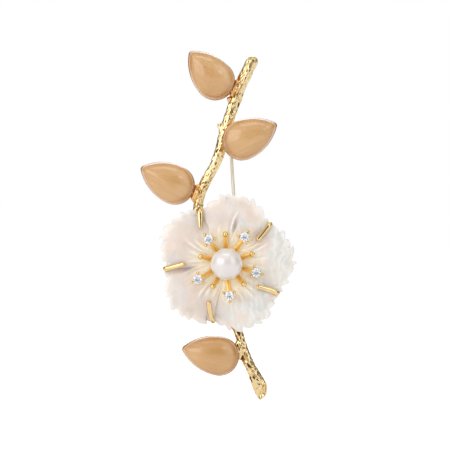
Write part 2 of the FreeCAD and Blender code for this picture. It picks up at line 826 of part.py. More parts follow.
def pin_stem():
    """Steel stem: a flattened eye on the rivet, a long round wire and a ground point."""
    eye = Part.makeCylinder(
        stem_eye_radius, stem_eye_width, Vector(-stem_eye_width / 2, 0, joint_height), Vector(1, 0, 0)
    )
    tip_height = catch_height - catch_length / 2 - stem_past_catch
    wire_end = tip_height + stem_point_length
    down = Vector(0, 0, -1)
    wire = Part.makeCylinder(stem_radius, joint_height - wire_end, Vector(0, 0, wire_end))
    point = Part.makeCone(stem_radius, 0.15 * stem_radius, stem_point_length, Vector(0, 0, wire_end), down)
    collar_length = 2.2 * stem_eye_radius
    collar = Part.makeCone(
        stem_eye_width / 2, stem_radius, collar_length, Vector(0, 0, joint_height), down
    )
    hole_start = Vector(-stem_eye_width, 0, joint_height)
    hole = Part.makeCylinder(rivet_radius + rivet_clearance, 2 * stem_eye_width, hole_start, Vector(1, 0, 0))
    return eye.multiFuse([collar, wire, point]).cut(hole)


def barrel_sector(radius, start, end, half_length):
    """Wedge of a round bar about the catch's axis, between two angles."""
    wedge = Part.makeCylinder(
        radius, 2 * half_length, Vector(0, 0, catch_height - half_length), Vector(0, 0, 1), end - start
    )
    wedge.rotate(Vector(0, 0, catch_height), Vector(0, 0, 1), start)
    return wedge


def catch_body():
    """Barrel on a tapered post: lips keep the lock in, a slot admits the stem, a window frees the lever."""
    half = catch_length / 2
    low = Vector(0, 0, catch_height - half)
    barrel = Part.makeCylinder(catch_outer_radius, catch_length, low)
    foot_half = catch_foot_width / 2
    post_half = catch_post_width / 2
    wires = []
    for depth, reach in ((plate_back_depth, foot_half), (0, post_half)):
        wires.append(Part.makePolygon([
            Vector(-reach, depth, catch_height - half),
            Vector(reach, depth, catch_height - half),
            Vector(reach, depth, catch_height + half),
            Vector(-reach, depth, catch_height + half),
            Vector(-reach, depth, catch_height - half),
        ]))
    post = Part.makeLoft(wires, True, True)
    room = half - catch_lip_length
    chamber = Part.makeCylinder(catch_bore_radius, 2 * room, Vector(0, 0, catch_height - room))
    through = Part.makeCylinder(catch_lip_bore, 2 * catch_length, Vector(0, 0, catch_height - catch_length))
    slot = box(
        (-catch_slot_width / 2, catch_slot_width / 2),
        (0, 2 * catch_outer_radius),
        (catch_height - catch_length, catch_height + catch_length),
    )
    swing = lever_half_angle() + lever_play
    window = barrel_sector(
        2 * catch_outer_radius,
        lever_closed_angle - swing,
        lever_open_angle + swing,
        lock_lever_width / 2 + 2 * lock_clearance,
    )
    return barrel.fuse(post).cut(chamber).cut(through).cut(slot).cut(window)


def lever_half_angle():
    """Half of the angle that the lever takes up at the barrel's bore."""
    return math.degrees(math.asin(lock_lever_thickness / 2 / catch_bore_radius))


def catch_lock():
    """Slotted drum that turns in the barrel, with its thumb lever."""
    half = catch_length / 2 - catch_lip_length - lock_clearance
    drum_radius = catch_bore_radius - lock_clearance
    drum = Part.makeCylinder(drum_radius, 2 * half, Vector(0, 0, catch_height - half))
    lever = box(
        (0.7 * drum_radius, lock_lever_reach),
        (-lock_lever_thickness / 2, lock_lever_thickness / 2),
        (catch_height - lock_lever_width / 2, catch_height + lock_lever_width / 2),
    )
    knob = Part.makeCylinder(
        lock_knob_radius,
        lock_lever_width,
        Vector(lock_lever_reach, 0, catch_height - lock_lever_width / 2),
    )
    lever = lever.fuse(knob)
    lever.rotate(Vector(0, 0, catch_height), Vector(0, 0, 1), lever_open_angle)
    bore = Part.makeCylinder(lock_bore_radius, catch_length, Vector(0, 0, catch_height - catch_length / 2))
    slot = box(
        (-lock_slot_width / 2, lock_slot_width / 2),
        (0, 2 * drum_radius),
        (catch_height - catch_length, catch_height + catch_length),
    )
    return drum.fuse(lever).cut(bore).cut(slot)


# ---------------------------------------------------------------- assembly
def main():
    """Builds every piece where it lies on the finished brooch."""
    os.makedirs("parts", exist_ok=True)
    line = twig_line()
    twig = twig_blank(line).cut(foot_cutter(line))

    back_plate = plate()
    joint = tilted(pin_joint())
    twig = twig.cut(back_plate).cut(joint)

    shell = flower()
    for number in range(len(notch_angles)):
        export("claw_%d" % (number + 1), claw(number))
        shell = shell.cut(claw(number, claw_clearance))

    cups = {}
    for name, height, gap, tip_angle in side_leaves:
        head, petiole = side_leaf(line, height, gap)
        room = leaf_wire(head, tip_angle, cup_clearance, cup_back_depth - cup_floor)
        petiole = petiole.cut(prism(room, FORWARD * (2 * cup_rim)))
        cup = leaf_cup(head, tip_angle, cup_back_depth).fuse(petiole).cut(twig)
        cups[name] = largest_solid(cup)
        export("leaf_stone_" + name, leaf_stone(head, tip_angle, cup_back_depth - cup_floor))

    head_reach = leaf_width / 2 + cup_wall + cup_clearance - front_leaf_lap
    front_head = twig_point(line, front_leaf_height) - left_of_twig(line, front_leaf_height) * head_reach
    front_back = twig_axis_depth - twig_radius_at(front_leaf_height) + front_leaf_seat
    cups["right"] = leaf_cup(front_head, front_leaf_angle, front_back)
    seat = leaf_wire(front_head, front_leaf_angle, cup_clearance + cup_wall, front_back)
    twig = twig.cut(prism(seat, FORWARD * twig_radius))
    export("leaf_stone_right", leaf_stone(front_head, front_leaf_angle, front_back - cup_floor))
    for name, cup in cups.items():
        export("leaf_cup_" + name, cup)

    export("twig", largest_solid(twig))
    export("flower_plate", back_plate)
    export("shell_flower", largest_solid(shell))
    export("stamen_spray", spray())
    for number in range(0, stamen_count, 2):
        export("brilliant_%d" % (number // 2 + 1), brilliant(brilliant_seat(number), stamen_angle(number)))
    export("pearl", pearl())
    export("pearl_peg", peg())

    export("pin_joint", joint)
    export("joint_rivet", tilted(joint_rivet()))
    export("pin_stem", tilted(pin_stem()))
    export("catch_body", tilted(catch_body()))
    export("catch_lock", tilted(catch_lock()))


main()
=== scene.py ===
"""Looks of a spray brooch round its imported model: bark, carved shell, cabochons, stamens, metal and stage."""
import bpy
import contextlib
import math
import numpy as np
from mathutils import kdtree, Matrix, noise, Vector


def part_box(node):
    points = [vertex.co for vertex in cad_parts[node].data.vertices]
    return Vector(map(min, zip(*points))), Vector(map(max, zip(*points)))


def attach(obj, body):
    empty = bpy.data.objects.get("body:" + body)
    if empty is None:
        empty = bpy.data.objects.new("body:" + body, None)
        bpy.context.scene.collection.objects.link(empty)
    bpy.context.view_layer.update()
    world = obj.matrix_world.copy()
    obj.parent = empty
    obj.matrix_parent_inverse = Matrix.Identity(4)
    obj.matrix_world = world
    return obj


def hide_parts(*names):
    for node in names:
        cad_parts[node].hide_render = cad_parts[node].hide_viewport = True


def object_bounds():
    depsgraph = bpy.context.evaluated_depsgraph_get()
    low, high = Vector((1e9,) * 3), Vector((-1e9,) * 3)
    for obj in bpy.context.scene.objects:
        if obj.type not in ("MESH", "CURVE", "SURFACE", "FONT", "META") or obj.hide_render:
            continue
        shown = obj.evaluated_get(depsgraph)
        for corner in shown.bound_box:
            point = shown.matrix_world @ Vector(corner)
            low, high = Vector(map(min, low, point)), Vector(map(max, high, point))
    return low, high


bl_info = {
    "name": "Spray Brooch",
    "version": (1, 0, 0),
    "blender": (4, 5, 0),
    "location": "3D View > Sidebar > Brooch",
    "description": "Dresses the packed spray brooch: bark, carved shell, cabochons, stamens and metal",
    "category": "Object",
}

MM = 0.001
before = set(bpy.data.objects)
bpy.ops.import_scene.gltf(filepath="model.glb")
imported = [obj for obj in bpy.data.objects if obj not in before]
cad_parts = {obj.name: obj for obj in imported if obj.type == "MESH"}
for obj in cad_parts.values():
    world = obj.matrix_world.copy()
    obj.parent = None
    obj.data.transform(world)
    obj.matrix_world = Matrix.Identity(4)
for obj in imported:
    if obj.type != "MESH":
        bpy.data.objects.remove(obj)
cad_low, cad_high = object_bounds()
pearl_low, pearl_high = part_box("pearl")
shell_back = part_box("shell_flower")[1].y
# Axis of the blossom: through the pearl, with the flat back of the shell as zero height
blossom = Vector(((pearl_low.x + pearl_high.x) / 2, shell_back, (pearl_low.z + pearl_high.z) / 2))

# Directions of the five notches round the blossom, in degrees from the right, where the claws stand
notch_angles = (-175.0, -104.0, -30.0, 42.5, 116.5)
# The two notches of each petal
petal_spans = tuple(zip(notch_angles, notch_angles[1:] + (notch_angles[0] + 360,)))
# Ridges carved in the petals: angle and radius (mm) at the throat, angle and radius where each runs out,
# degrees that it bows aside, height (mm)
ridges = (
    (80.5, 4.0, 74.5, 13.2, 4.0, 0.34),
    (77.5, 4.2, 71.5, 10.0, 0.5, 0.36),
    (110.0, 4.0, 98.0, 9.2, 1.0, 0.20),
    (124.0, 4.6, 110.5, 10.0, 1.5, 0.22),
    (62.0, 5.0, 57.0, 9.4, -2.0, 0.16),
    (151.0, 4.2, 147.5, 11.2, 2.5, 0.26),
    (144.0, 4.6, 141.0, 9.4, 1.5, 0.20),
    (166.0, 4.6, 162.0, 9.2, -2.0, 0.20),
    (171.0, 4.0, 177.0, 9.0, 0.0, 0.24),
    (-177.0, 4.6, -166.0, 10.6, 0.5, 0.26),
    (-152.0, 4.8, -150.0, 9.0, 2.0, 0.18),
    (-132.0, 4.6, -129.0, 10.2, -2.0, 0.28),
    (-124.5, 4.4, -122.0, 8.8, -1.0, 0.24),
    (-112.0, 4.6, -113.0, 8.6, 1.0, 0.18),
    (-92.0, 4.6, -95.0, 8.6, -1.5, 0.16),
    (-70.0, 5.2, -66.0, 9.6, 1.5, 0.18),
    (-57.0, 4.8, -52.0, 10.4, 2.0, 0.24),
    (-46.5, 4.6, -44.5, 8.8, 0.0, 0.30),
    (-3.0, 4.2, -6.5, 9.6, -1.5, 0.22),
    (7.5, 4.0, 6.0, 10.2, 1.5, 0.20),
    (20.0, 4.0, 26.5, 10.8, 1.5, 0.30),
    (36.0, 4.6, 31.0, 9.8, -1.0, 0.24),
)
# Scooped hollows: angle, radius (mm), half length and half width (mm), depth (mm)
hollows = (
    (77.2, 8.6, 1.7, 0.60, 0.42),
    (-172.5, 8.9, 1.8, 0.65, 0.3),
    (-22.0, 6.6, 1.5, 0.8, 0.25),
)



# ------ sizes and colours that a user may change
def a_length(name, description, millimetres):
    """Setting: a length, with its default in mm."""
    return bpy.props.FloatProperty(
        name=name, description=description, default=millimetres * MM, unit="LENGTH"
    )


def a_share(name, description, default):
    """Setting: a share of something else."""
    return bpy.props.FloatProperty(name=name, description=description, default=default)


def a_colour(default):
    """Setting: the colour of a piece's body."""
    return bpy.props.StringProperty(name="Colour", description="Body colour, sRGB hex", default=default)


class TwigSettings(bpy.types.PropertyGroup):
    """Bark of the cast twig."""
    cell: a_length("Cell", "Cell of the new mesh", 0.1)
    lumps: a_length("Lumps", "Height of the long lumps of the bark", 0.08)
    furrows: a_length("Furrows", "Depth of the furrows along the bark", 0.07)
    grains: a_length("Grains", "Height of the small grains", 0.08)
    pits: a_length("Pits", "Depth of the small pits", 0.14)
    petiole_length: a_length("Petiole's length", "Half of a swelling at a leaf, along the twig", 2.3)
    petiole_width: a_length("Petiole's width", "Half of it, towards the leaf", 1.5)
    petiole_depth: a_length("Petiole's depth", "Half of it, front to back", 1.3)
    petiole_shift: a_length("Petiole's shift", "Its middle from the cup, towards the twig", 0.5)
    flare: a_share("Flare", "How much wider the foot is at its cut, as a share", 0.36)
    flare_length: a_length("Flare's length", "Height over which the foot flares", 4.5)
    reach: a_length("Reach", "How much further the foot reaches", 0.5)


class ShellSettings(bpy.types.PropertyGroup):
    """Carved shell blossom."""
    tip_radius: a_length("Petal tips", "Radius out to the teeth", 15.6)
    stretch: a_length("Uneven petals", "How much further the longest petal reaches", 0.45)
    notch_radius: a_length("Notches", "Radius at the notches between petals", 12.4)
    teeth: bpy.props.IntProperty(name="Teeth", description="Saw teeth on each petal", default=8, min=2)
    tooth_depth: a_length("Tooth depth", "Depth of the saw teeth", 0.9)
    dome_radius: a_length("Dome", "Radius of each petal's dome", 17.0)
    crest_height: a_length("Crest", "Thickness at the crest of a petal", 2.9)
    colour: a_colour("E4D9D0")


class StoneSettings(bpy.types.PropertyGroup):
    """Drop cabochons."""
    width: a_length("Width", "Width across the round head", 8.5)
    length: a_length("Length", "From the head's end to the tip", 12.55)
    tip_radius: a_length("Tip", "Radius of the tip", 0.65)
    girdle: a_length("Girdle", "Height of the straight edge", 0.7)
    rim: a_length("Rim", "Height up to the cup's edge", 0.56)
    lap: a_length("Lap", "How far the stone's sides swell over the cup's edge", 0.17)
    end_lap: a_length("End lap", "The same at its head and tip", 0.06)
    colour: a_colour("D2A56E")


class ClawSettings(bpy.types.PropertyGroup):
    """Five wire claws, and the arms of the plate that carry them."""
    cell: a_length("Cell", "Size of the mesh's cells", 0.06)
    passes: bpy.props.IntProperty(name="Passes", description="Rounds of smoothing", default=14)
    swell: a_length("Swell", "What the smoothing took off, given back", 0.05)
    filing: a_share("Filing", "Share of its width that each arm of the plate keeps at its end", 0.45)
    trim: a_length("Trim", "How much shorter each arm is", 0.25)


class StamenSettings(bpy.types.PropertyGroup):
    """Cast spray of ten stamens."""
    stone_reach: a_length("Stone reach", "Blossom's middle to a stone", 7.0)
    ball_reach: a_length("Ball reach", "Blossom's middle to a ball", 6.05)
    ball_radius: a_length("Ball", "Radius of a stamen's ball", 0.62)
    bead_radius: a_length("Bead", "Radius of a prong's bead", 0.36)


class StageSettings(bpy.types.PropertyGroup):
    """What the camera takes in."""
    view_width: a_length("View width", "Width that the camera takes in", 99.7)
    distance: a_length("Distance", "Camera to the blossom", 550)


# ------ helpers for pieces
def deselect():
    """Nothing selected and nothing in edit mode."""
    if bpy.context.object and bpy.context.object.mode != "OBJECT":
        bpy.ops.object.mode_set(mode="OBJECT")
    bpy.ops.object.select_all(action="DESELECT")


def make_active(piece):
    """Selects one piece alone."""
    deselect()
    piece.select_set(True)
    bpy.context.view_layer.objects.active = piece


def apply_place(piece):
    """Moves a piece's place, turn and scale into its mesh."""
    make_active(piece)
    bpy.ops.object.transform_apply(location=True, rotation=True, scale=True)


def add_piece(operator, **values):
    """New primitive from one of Blender's operators, active and alone selected, its place in its mesh."""
    deselect()
    operator(**values)
    piece = bpy.context.object
    apply_place(piece)
    return piece


def link_piece(name, mesh):
    """New piece that shows a mesh, active and alone selected."""
    piece = bpy.data.objects.new(name, mesh)
    bpy.context.scene.collection.objects.link(piece)
    make_active(piece)
    return piece


@contextlib.contextmanager
def editing():
    """Edit mode on the active piece, with all of it selected."""
    bpy.ops.object.mode_set(mode="EDIT")
    bpy.ops.mesh.select_all(action="SELECT")
    yield
    bpy.ops.object.mode_set(mode="OBJECT")


def extrude(across, depth, along):
    """Extrudes what is selected by a distance."""
    bpy.ops.mesh.extrude_region_move(TRANSFORM_OT_translate={"value": (across, depth, along)})


def apply_modifier(piece, kind, **values):
    """Adds a modifier with its values and applies it."""
    make_active(piece)
    modifier = piece.modifiers.new(kind.title(), kind)
    for name, value in values.items():
        setattr(modifier, name, value)
    bpy.ops.object.modifier_apply(modifier=modifier.name)


def soften(piece, width, segments=3, degrees=50):
    """Rounds the edges at which faces meet at more than an angle."""
    apply_modifier(piece, "BEVEL", width=width, segments=segments, angle_limit=math.radians(degrees))


def join(name, pieces):
    """Joins pieces to one named piece."""
    deselect()
    for piece in pieces:
        piece.select_set(True)
    bpy.context.view_layer.objects.active = pieces[0]
    bpy.ops.object.join()
    joined = bpy.context.object
    joined.name = name
    joined.data.name = name
    return joined


def smooth(piece, degrees=180):
    """Smooth shading up to an angle between faces."""
    make_active(piece)
    bpy.ops.object.shade_smooth_by_angle(angle=math.radians(degrees))


def dress(piece, material, degrees=180):
    """Gives a piece its one material, shades it smooth and lets it ride on the brooch."""
    smooth(piece, degrees)
    piece.data.materials.clear()
    piece.data.materials.append(material)
    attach(piece, "brooch")


def copy_of_node(node, name):
    """Copy of a CAD node's mesh as a new piece, its loose triangles merged."""
    piece = link_piece(name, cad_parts[node].data.copy())
    with editing():
        bpy.ops.mesh.remove_doubles(threshold=1e-6)
    return piece


def coordinates(piece, measure="co"):
    """Places of a piece's vertices as an array, or another measure of three numbers."""
    values = np.empty(len(piece.data.vertices) * 3)
    piece.data.vertices.foreach_get(measure, values)
    return values.reshape(-1, 3)


def set_coordinates(piece, points):
    """Moves a piece's vertices to the points."""
    piece.data.vertices.foreach_set("co", points.ravel())
    piece.data.update()


def add_attribute(mesh, name, values):
    """Stores a number for each vertex."""
    attribute = mesh.attributes.new(name, "FLOAT", "POINT")
    attribute.data.foreach_set("value", values)


def point_tree(points):
    """Tree that finds the nearest of some points."""
    tree = kdtree.KDTree(len(points))
    for number, point in enumerate(points):
        tree.insert(point, number)
    tree.balance()
    return tree


def smooth_step(low, high, value):
    """0 below low, 1 above high and an even blend between."""
    part = np.clip((value - low) / (high - low), 0, 1)
    return part * part * (3 - 2 * part)


def turned_from(degrees, middle):
    """Degrees from a direction, between -180 and 180."""
    return (degrees - middle + 180) % 360 - 180


# ------ helpers for materials
def linear(colour):
    """Linear colour for a socket from sRGB hex digits."""
    parts = [int(colour[i:i + 2], 16) / 255 for i in (0, 2, 4)]
    return [p / 12.92 if p <= 0.04045 else ((p + 0.055) / 1.055) ** 2.4 for p in parts] + [1.0]


def add_node(tree, kind, values=None):
    """Adds a node with its properties, inputs and ramp stops. An input given as an output is linked to it."""
    node = tree.nodes.new(kind)
    for name, value in (values or {}).items():
        if name == "stops":
            elements = node.color_ramp.elements
            while len(elements) < len(value):
                elements.new(1.0)
            for element, (position, colour) in zip(elements, value):
                element.position = position
                element.color = linear(colour)
        elif isinstance(value, bpy.types.NodeSocket):
            tree.links.new(value, node.inputs[name])
        elif isinstance(name, int) or name in node.inputs:
            node.inputs[name].default_value = value
        else:
            setattr(node, name, value)
    return node


def new_material(name, surface):
    """Material with one Principled shader, and the shader's fixed values."""
    material = bpy.data.materials.new(name)
    material.use_nodes = True
    tree = material.node_tree
    tree.nodes.clear()
    shader = add_node(tree, "ShaderNodeBsdfPrincipled", surface)
    add_node(tree, "ShaderNodeOutputMaterial", {"Surface": shader.outputs[0]})
    return material, tree, shader


def feed(tree, node, sources):
    """Links the inputs of a node to other nodes' outputs."""
    for name, source in sources.items():
        tree.links.new(source, node.inputs[name])


def object_place(tree):
    """Place of each point on its piece."""
    return add_node(tree, "ShaderNodeTexCoord").outputs["Object"]


def painted(tree, name):
    """Number that each vertex carries under a name."""
    return add_node(tree, "ShaderNodeAttribute", {"attribute_name": name}).outputs["Fac"]


def patches(tree, place, size, detail=2.0, **values):
    """Soft noise between 0 and 1, in patches of about a size."""
    values = {"Scale": 1 / size, "Detail": detail, **values, "Vector": place}
    return add_node(tree, "ShaderNodeTexNoise", values).outputs["Fac"]


def ramp(tree, source, *stops):
    """Colours that follow a number, each with the number at which it stands."""
    return add_node(tree, "ShaderNodeValToRGB", {"stops": stops, "Fac": source}).outputs["Color"]


def remap(tree, source, low, high, start=0.0, end=1.0):
    """Number that runs from low to high as its source runs from start to end, and stays within them."""
    return add_node(tree, "ShaderNodeMapRange", {0: source, 1: start, 2: end, 3: low, 4: high}).outputs[0]


def calculate(tree, operation, *numbers):
    """Result of one step of arithmetic."""
    return add_node(
        tree, "ShaderNodeMath", {"operation": operation, **dict(enumerate(numbers))}
    ).outputs[0]


def mix(tree, amount, first, second, way="MIX"):
    """Colour with an amount of a second one, which is hex digits or another node's output."""
    if isinstance(second, str):
        second = linear(second)
    return add_node(
        tree, "ShaderNodeMix", {"data_type": "RGBA", "blend_type": way, 0: amount, 6: first, 7: second}
    ).outputs[2]


def relief(tree, height, distance, strength):
    """Normal that a fine relief gives."""
    return add_node(
        tree, "ShaderNodeBump", {"Distance": distance, "Strength": strength, "Height": height}
    ).outputs["Normal"]


# ------ materials
def gold_material(name, colour, deep, roughness, grain_size, grain_height):
    """Gold-plated brass: a warm base that deepens in faint patches, with a fine grain in its polish."""
    material, tree, shader = new_material(name, {"Metallic": 1.0})
    place = object_place(tree)
    cloud = patches(tree, place, 3.0 * MM, 3.0)
    grain = patches(tree, place, grain_size * MM)
    feed(tree, shader, {
        "Base Color": ramp(tree, cloud, (0.2, deep), (0.7, colour)),
        "Roughness": remap(tree, grain, roughness * 0.75, roughness * 1.3),
        "Normal": relief(tree, grain, grain_height * MM, 0.5),
    })
    return material


def bark_gold():
    """Gold-plated cast brass: bright on the ridges of the bark, dark where polish never reached the pits."""
    material, tree, shader = new_material("cast_gold_bark", {"Metallic": 1.0})
    place = object_place(tree)
    speckle = patches(tree, place, 0.45 * MM, 3.0, Roughness=0.6)
    # Dark in the pits and furrows, and painted lighter at the foot as painted light
    darkness = calculate(tree, "MULTIPLY_ADD", speckle, 0.5, painted(tree, "pit"))
    tone = ramp(tree, darkness, (0.25, "EED8A8"), (0.5, "D8B47C"), (0.75, "A0743F"), (0.95, "4A3826"))
    # Painted reflection: a rose tone where the gold of a leaf's cup is mirrored in the bark beside it
    painted_cup_reflection = calculate(tree, "MULTIPLY", painted(tree, "warm"), 0.6)
    feed(tree, shader, {
        "Base Color": mix(tree, painted_cup_reflection, tone, "D8964E"),
        "Roughness": remap(tree, darkness, 0.14, 0.4),
        "Normal": relief(tree, patches(tree, place, 0.22 * MM), 0.014 * MM, 0.6),
    })
    return material


def mother_of_pearl(settings):
    """Mother of pearl: satin cream with drifting pink, grey-green and white; warm painted light at the throat,
    painted light at the thin edge, painted highlights on the ridges and painted shade in the hollows.
    """
    material, tree, shader = new_material("mother_of_pearl", {
        "Roughness": 0.28, "IOR": 1.53, "Subsurface Weight": 0.9, "Subsurface Scale": 2.2 * MM,
        "Subsurface Radius": (1.0, 0.9, 0.75), "Coat Weight": 0.3, "Coat Roughness": 0.12,
        "Emission Color": linear("FFE9B4"),
    })
    place = object_place(tree)
    centred = add_node(
        tree, "ShaderNodeMapping", {"vector_type": "POINT", "Location": -blossom, "Vector": place}
    ).outputs["Vector"]
    away = add_node(tree, "ShaderNodeVectorMath", {"operation": "LENGTH", 0: centred}).outputs["Value"]
    rightwards = add_node(tree, "ShaderNodeSeparateXYZ", {0: centred}).outputs["X"]
    # Patches of cream that turn white towards the right
    slope = remap(tree, rightwards, -0.22, 0.22, -14 * MM, 14 * MM)
    lean = calculate(tree, "ADD", slope, patches(tree, place, 6.0 * MM, 3.0, Distortion=0.8))
    body = ramp(
        tree, lean, (0.22, "E4DDD9"), (0.36, settings.colour), (0.48, "EADED5"), (0.58, "EEE7E2"),
        (0.68, "EDEDEA"), (0.78, "F5F2F0"),
    )
    cloud = patches(tree, place, 3.6 * MM, 3.0, Distortion=1.0)
    veil = ramp(tree, cloud, (0.33, "E9EAE9"), (0.45, "F8F7F5"), (0.58, "FFFFFF"), (0.7, "FDF3EE"))
    tone = mix(tree, 0.45, body, veil, "MULTIPLY")
    # Painted light: warm near-white at the throat, where the gold throws light back in; paler at the thin edge,
    # where light comes through; and painted highlights on the ridges
    tone = mix(tree, remap(tree, away, 1.0, 0.0, 4.0 * MM, 10.0 * MM), tone, "FFF9E6")
    tone = mix(tree, painted(tree, "thin"), tone, "F8F1EC")
    tone = mix(tree, painted(tree, "ridge"), tone, "FFF8E8")
    # Wavy growth lines that flash on the petals at the right
    waves = add_node(tree, "ShaderNodeTexWave", {
        "Scale": 1 / (5 * MM), "Distortion": 14.0, "Detail": 4.0, "Detail Scale": 1.2, "Vector": place,
    }).outputs["Fac"]
    flash = ramp(tree, waves, (0.25, "E6E8E8"), (0.5, "F5F4F3"), (0.85, "FFFFFF"))
    tone = mix(tree, remap(tree, lean, 0.0, 0.42, 0.5, 0.72), tone, flash, "MULTIPLY")
    # Painted shade in the scooped hollows and the grooves beside the ridges
    tone = mix(tree, painted(tree, "hollow"), tone, "C8BEC8", "MULTIPLY")
    growth = patches(tree, place, 0.7 * MM, 4.0, Distortion=2.0)
    feed(tree, shader, {
        "Base Color": tone,
        "Normal": relief(tree, growth, 0.05 * MM, 0.35),
        # Light that the thin shell lets through and the gold throws back into the throat
        "Emission Strength": remap(tree, away, 0.22, 0.0, 3.0 * MM, 9.0 * MM),
    })
    return material


def cats_eye(settings):
    """Peach cat's-eye quartz, polished: silky fibres run from head to tip under a clear gloss."""
    material, tree, shader = new_material("cats_eye_quartz", {
        "Roughness": 0.22, "IOR": 1.55, "Subsurface Weight": 0.3, "Subsurface Scale": 1.0 * MM,
        "Subsurface Radius": (1.0, 0.6, 0.35), "Coat Weight": 0.6, "Coat Roughness": 0.06,
    })
    along = add_node(tree, "ShaderNodeUVMap", {"uv_map": "along"}).outputs["UV"]
    drawn_out = add_node(tree, "ShaderNodeMapping", {"Scale": (1.4, 15.0, 1.0), "Vector": along})
    fibres = patches(tree, drawn_out.outputs["Vector"], 1.0, 1.5, Roughness=0.45, Distortion=0.3)
    bands = patches(tree, along, 0.625, 1.0)
    silk = add_node(tree, "ShaderNodeMix", {"data_type": "FLOAT", 0: 0.72, 2: fibres, 3: bands}).outputs[0]
    tone = ramp(tree, silk, (0.38, "CE9F66"), (0.47, settings.colour), (0.55, "D6AA72"), (0.64, "DAB07E"))
    # Painted shade: brown at the girdle, where the stone's bevel bends the light, with a painted highlight as a
    # pale line just above it
    rim = painted(tree, "rim")
    painted_girdle_shade = ramp(
        tree, rim, (0.0, "B4845C"), (0.18, "C2906A"), (0.3, "F8ECDE"), (0.45, "F6E6D6"), (0.66, "FFFFFF")
    )
    tone = mix(tree, 0.85, tone, painted_girdle_shade, "MULTIPLY")
    line = ramp(tree, rim, (0.18, "000000"), (0.3, "B8B8B8"), (0.42, "000000"))
    tone = mix(tree, line, tone, "F3DABC")
    # Painted reflection: the head is darker, painted with the gold of the petiole that the stone shows behind
    # it
    head = calculate(tree, "MULTIPLY", painted(tree, "head"), 0.6)
    feed(tree, shader, {
        "Base Color": mix(tree, head, tone, "B07840"),
        "Normal": relief(tree, fibres, 0.004 * MM, 0.2),
    })
    return material


def nacre():
    """Cultured pearl: white nacre in faint rosy drifts, deep soft gloss and a faintly uneven skin."""
    material, tree, shader = new_material("cultured_pearl", {
        "Roughness": 0.16, "IOR": 1.68, "Subsurface Weight": 0.35, "Subsurface Scale": 1.0 * MM,
        "Subsurface Radius": (1.0, 0.9, 0.85), "Coat Weight": 1.0, "Coat IOR": 1.68, "Coat Roughness": 0.1,
    })
    drift = patches(tree, object_place(tree), 3.0 * MM)
    feed(tree, shader, {
        "Base Color": ramp(tree, drift, (0.35, "E4DBD6"), (0.55, "EAE4E0"), (0.7, "E8E0E0")),
        "Normal": relief(tree, drift, 0.03 * MM, 0.2),
    })
    return material


def brilliant_material():
    """Diamond: clear, polished flat, with the faint uneven gleam that polishing leaves, and a grey tint that is
    painted shade.
    """
    material, tree, shader = new_material("diamond", {"IOR": 2.42, "Transmission Weight": 1.0})
    polish_haze_and_painted_tint = patches(tree, object_place(tree), 0.5 * MM)
    # The grey tint is painted shade, darkening the stone as the dark facets it mirrors would
    feed(tree, shader, {
        "Base Color": ramp(tree, polish_haze_and_painted_tint, (0.4, "C0C4CA"), (0.6, "E2E4E8")),
        "Roughness": remap(tree, polish_haze_and_painted_tint, 0.0, 0.03),
    })
    return material


def matt_material(name, roughness, gloss, grain, *stops):
    """Paper or felt of the stage: matt, with a soft grain."""
    material, tree, shader = new_material(name, {"Roughness": roughness, "Specular IOR Level": gloss})
    feed(tree, shader, {"Base Color": ramp(tree, patches(tree, object_place(tree), grain), *stops)})
    return material, tree, shader


# ------ twig
# Cups that the bark beside them mirrors as a painted reflection, and all that stand beside the twig
warm_cups = ("leaf_cup_top", "leaf_cup_left")
side_cups = warm_cups + ("leaf_cup_foot",)
# The bark is painted rosy, as a painted reflection, up to the first distance from such a cup, and no more at
# the second
rosy_until, rosy_end = 0.3 * MM, 1.7 * MM
# Bark patterns: cycles in a mm round and along the twig, and shifts across and ahead that keep them apart
bark_patterns = {
    "lump": (0.6, 0.3, 0, 0),
    "furrow": (1.5, 0.7, 7, 0),
    "grain": (2.5, 1.6, 0, 11),
    "sway": (0.5, 0.45, 0, 5),
    "patch": (0.5, 0.35, 9, 0),
    "cell": (1.75, 0.85, 3, 0),
}
# Height of a slice from which the twig's middle line is found, and of the foot that flares most
slice_height = 2 * MM
foot_height = 0.5 * MM
# Value of its pattern at which a pit begins, and how steeply it deepens from there
pit_start, pit_slope = 0.26, 5


def bark_noise(pattern, across, ahead, along, sway=0.0):
    """One of the bark's patterns at a place on the twig, given in mm."""
    round_it, along_it, shift_across, shift_ahead = bark_patterns[pattern]
    return noise.noise((
        round_it * across + shift_across + sway, round_it * ahead + shift_ahead, along_it * along
    ))


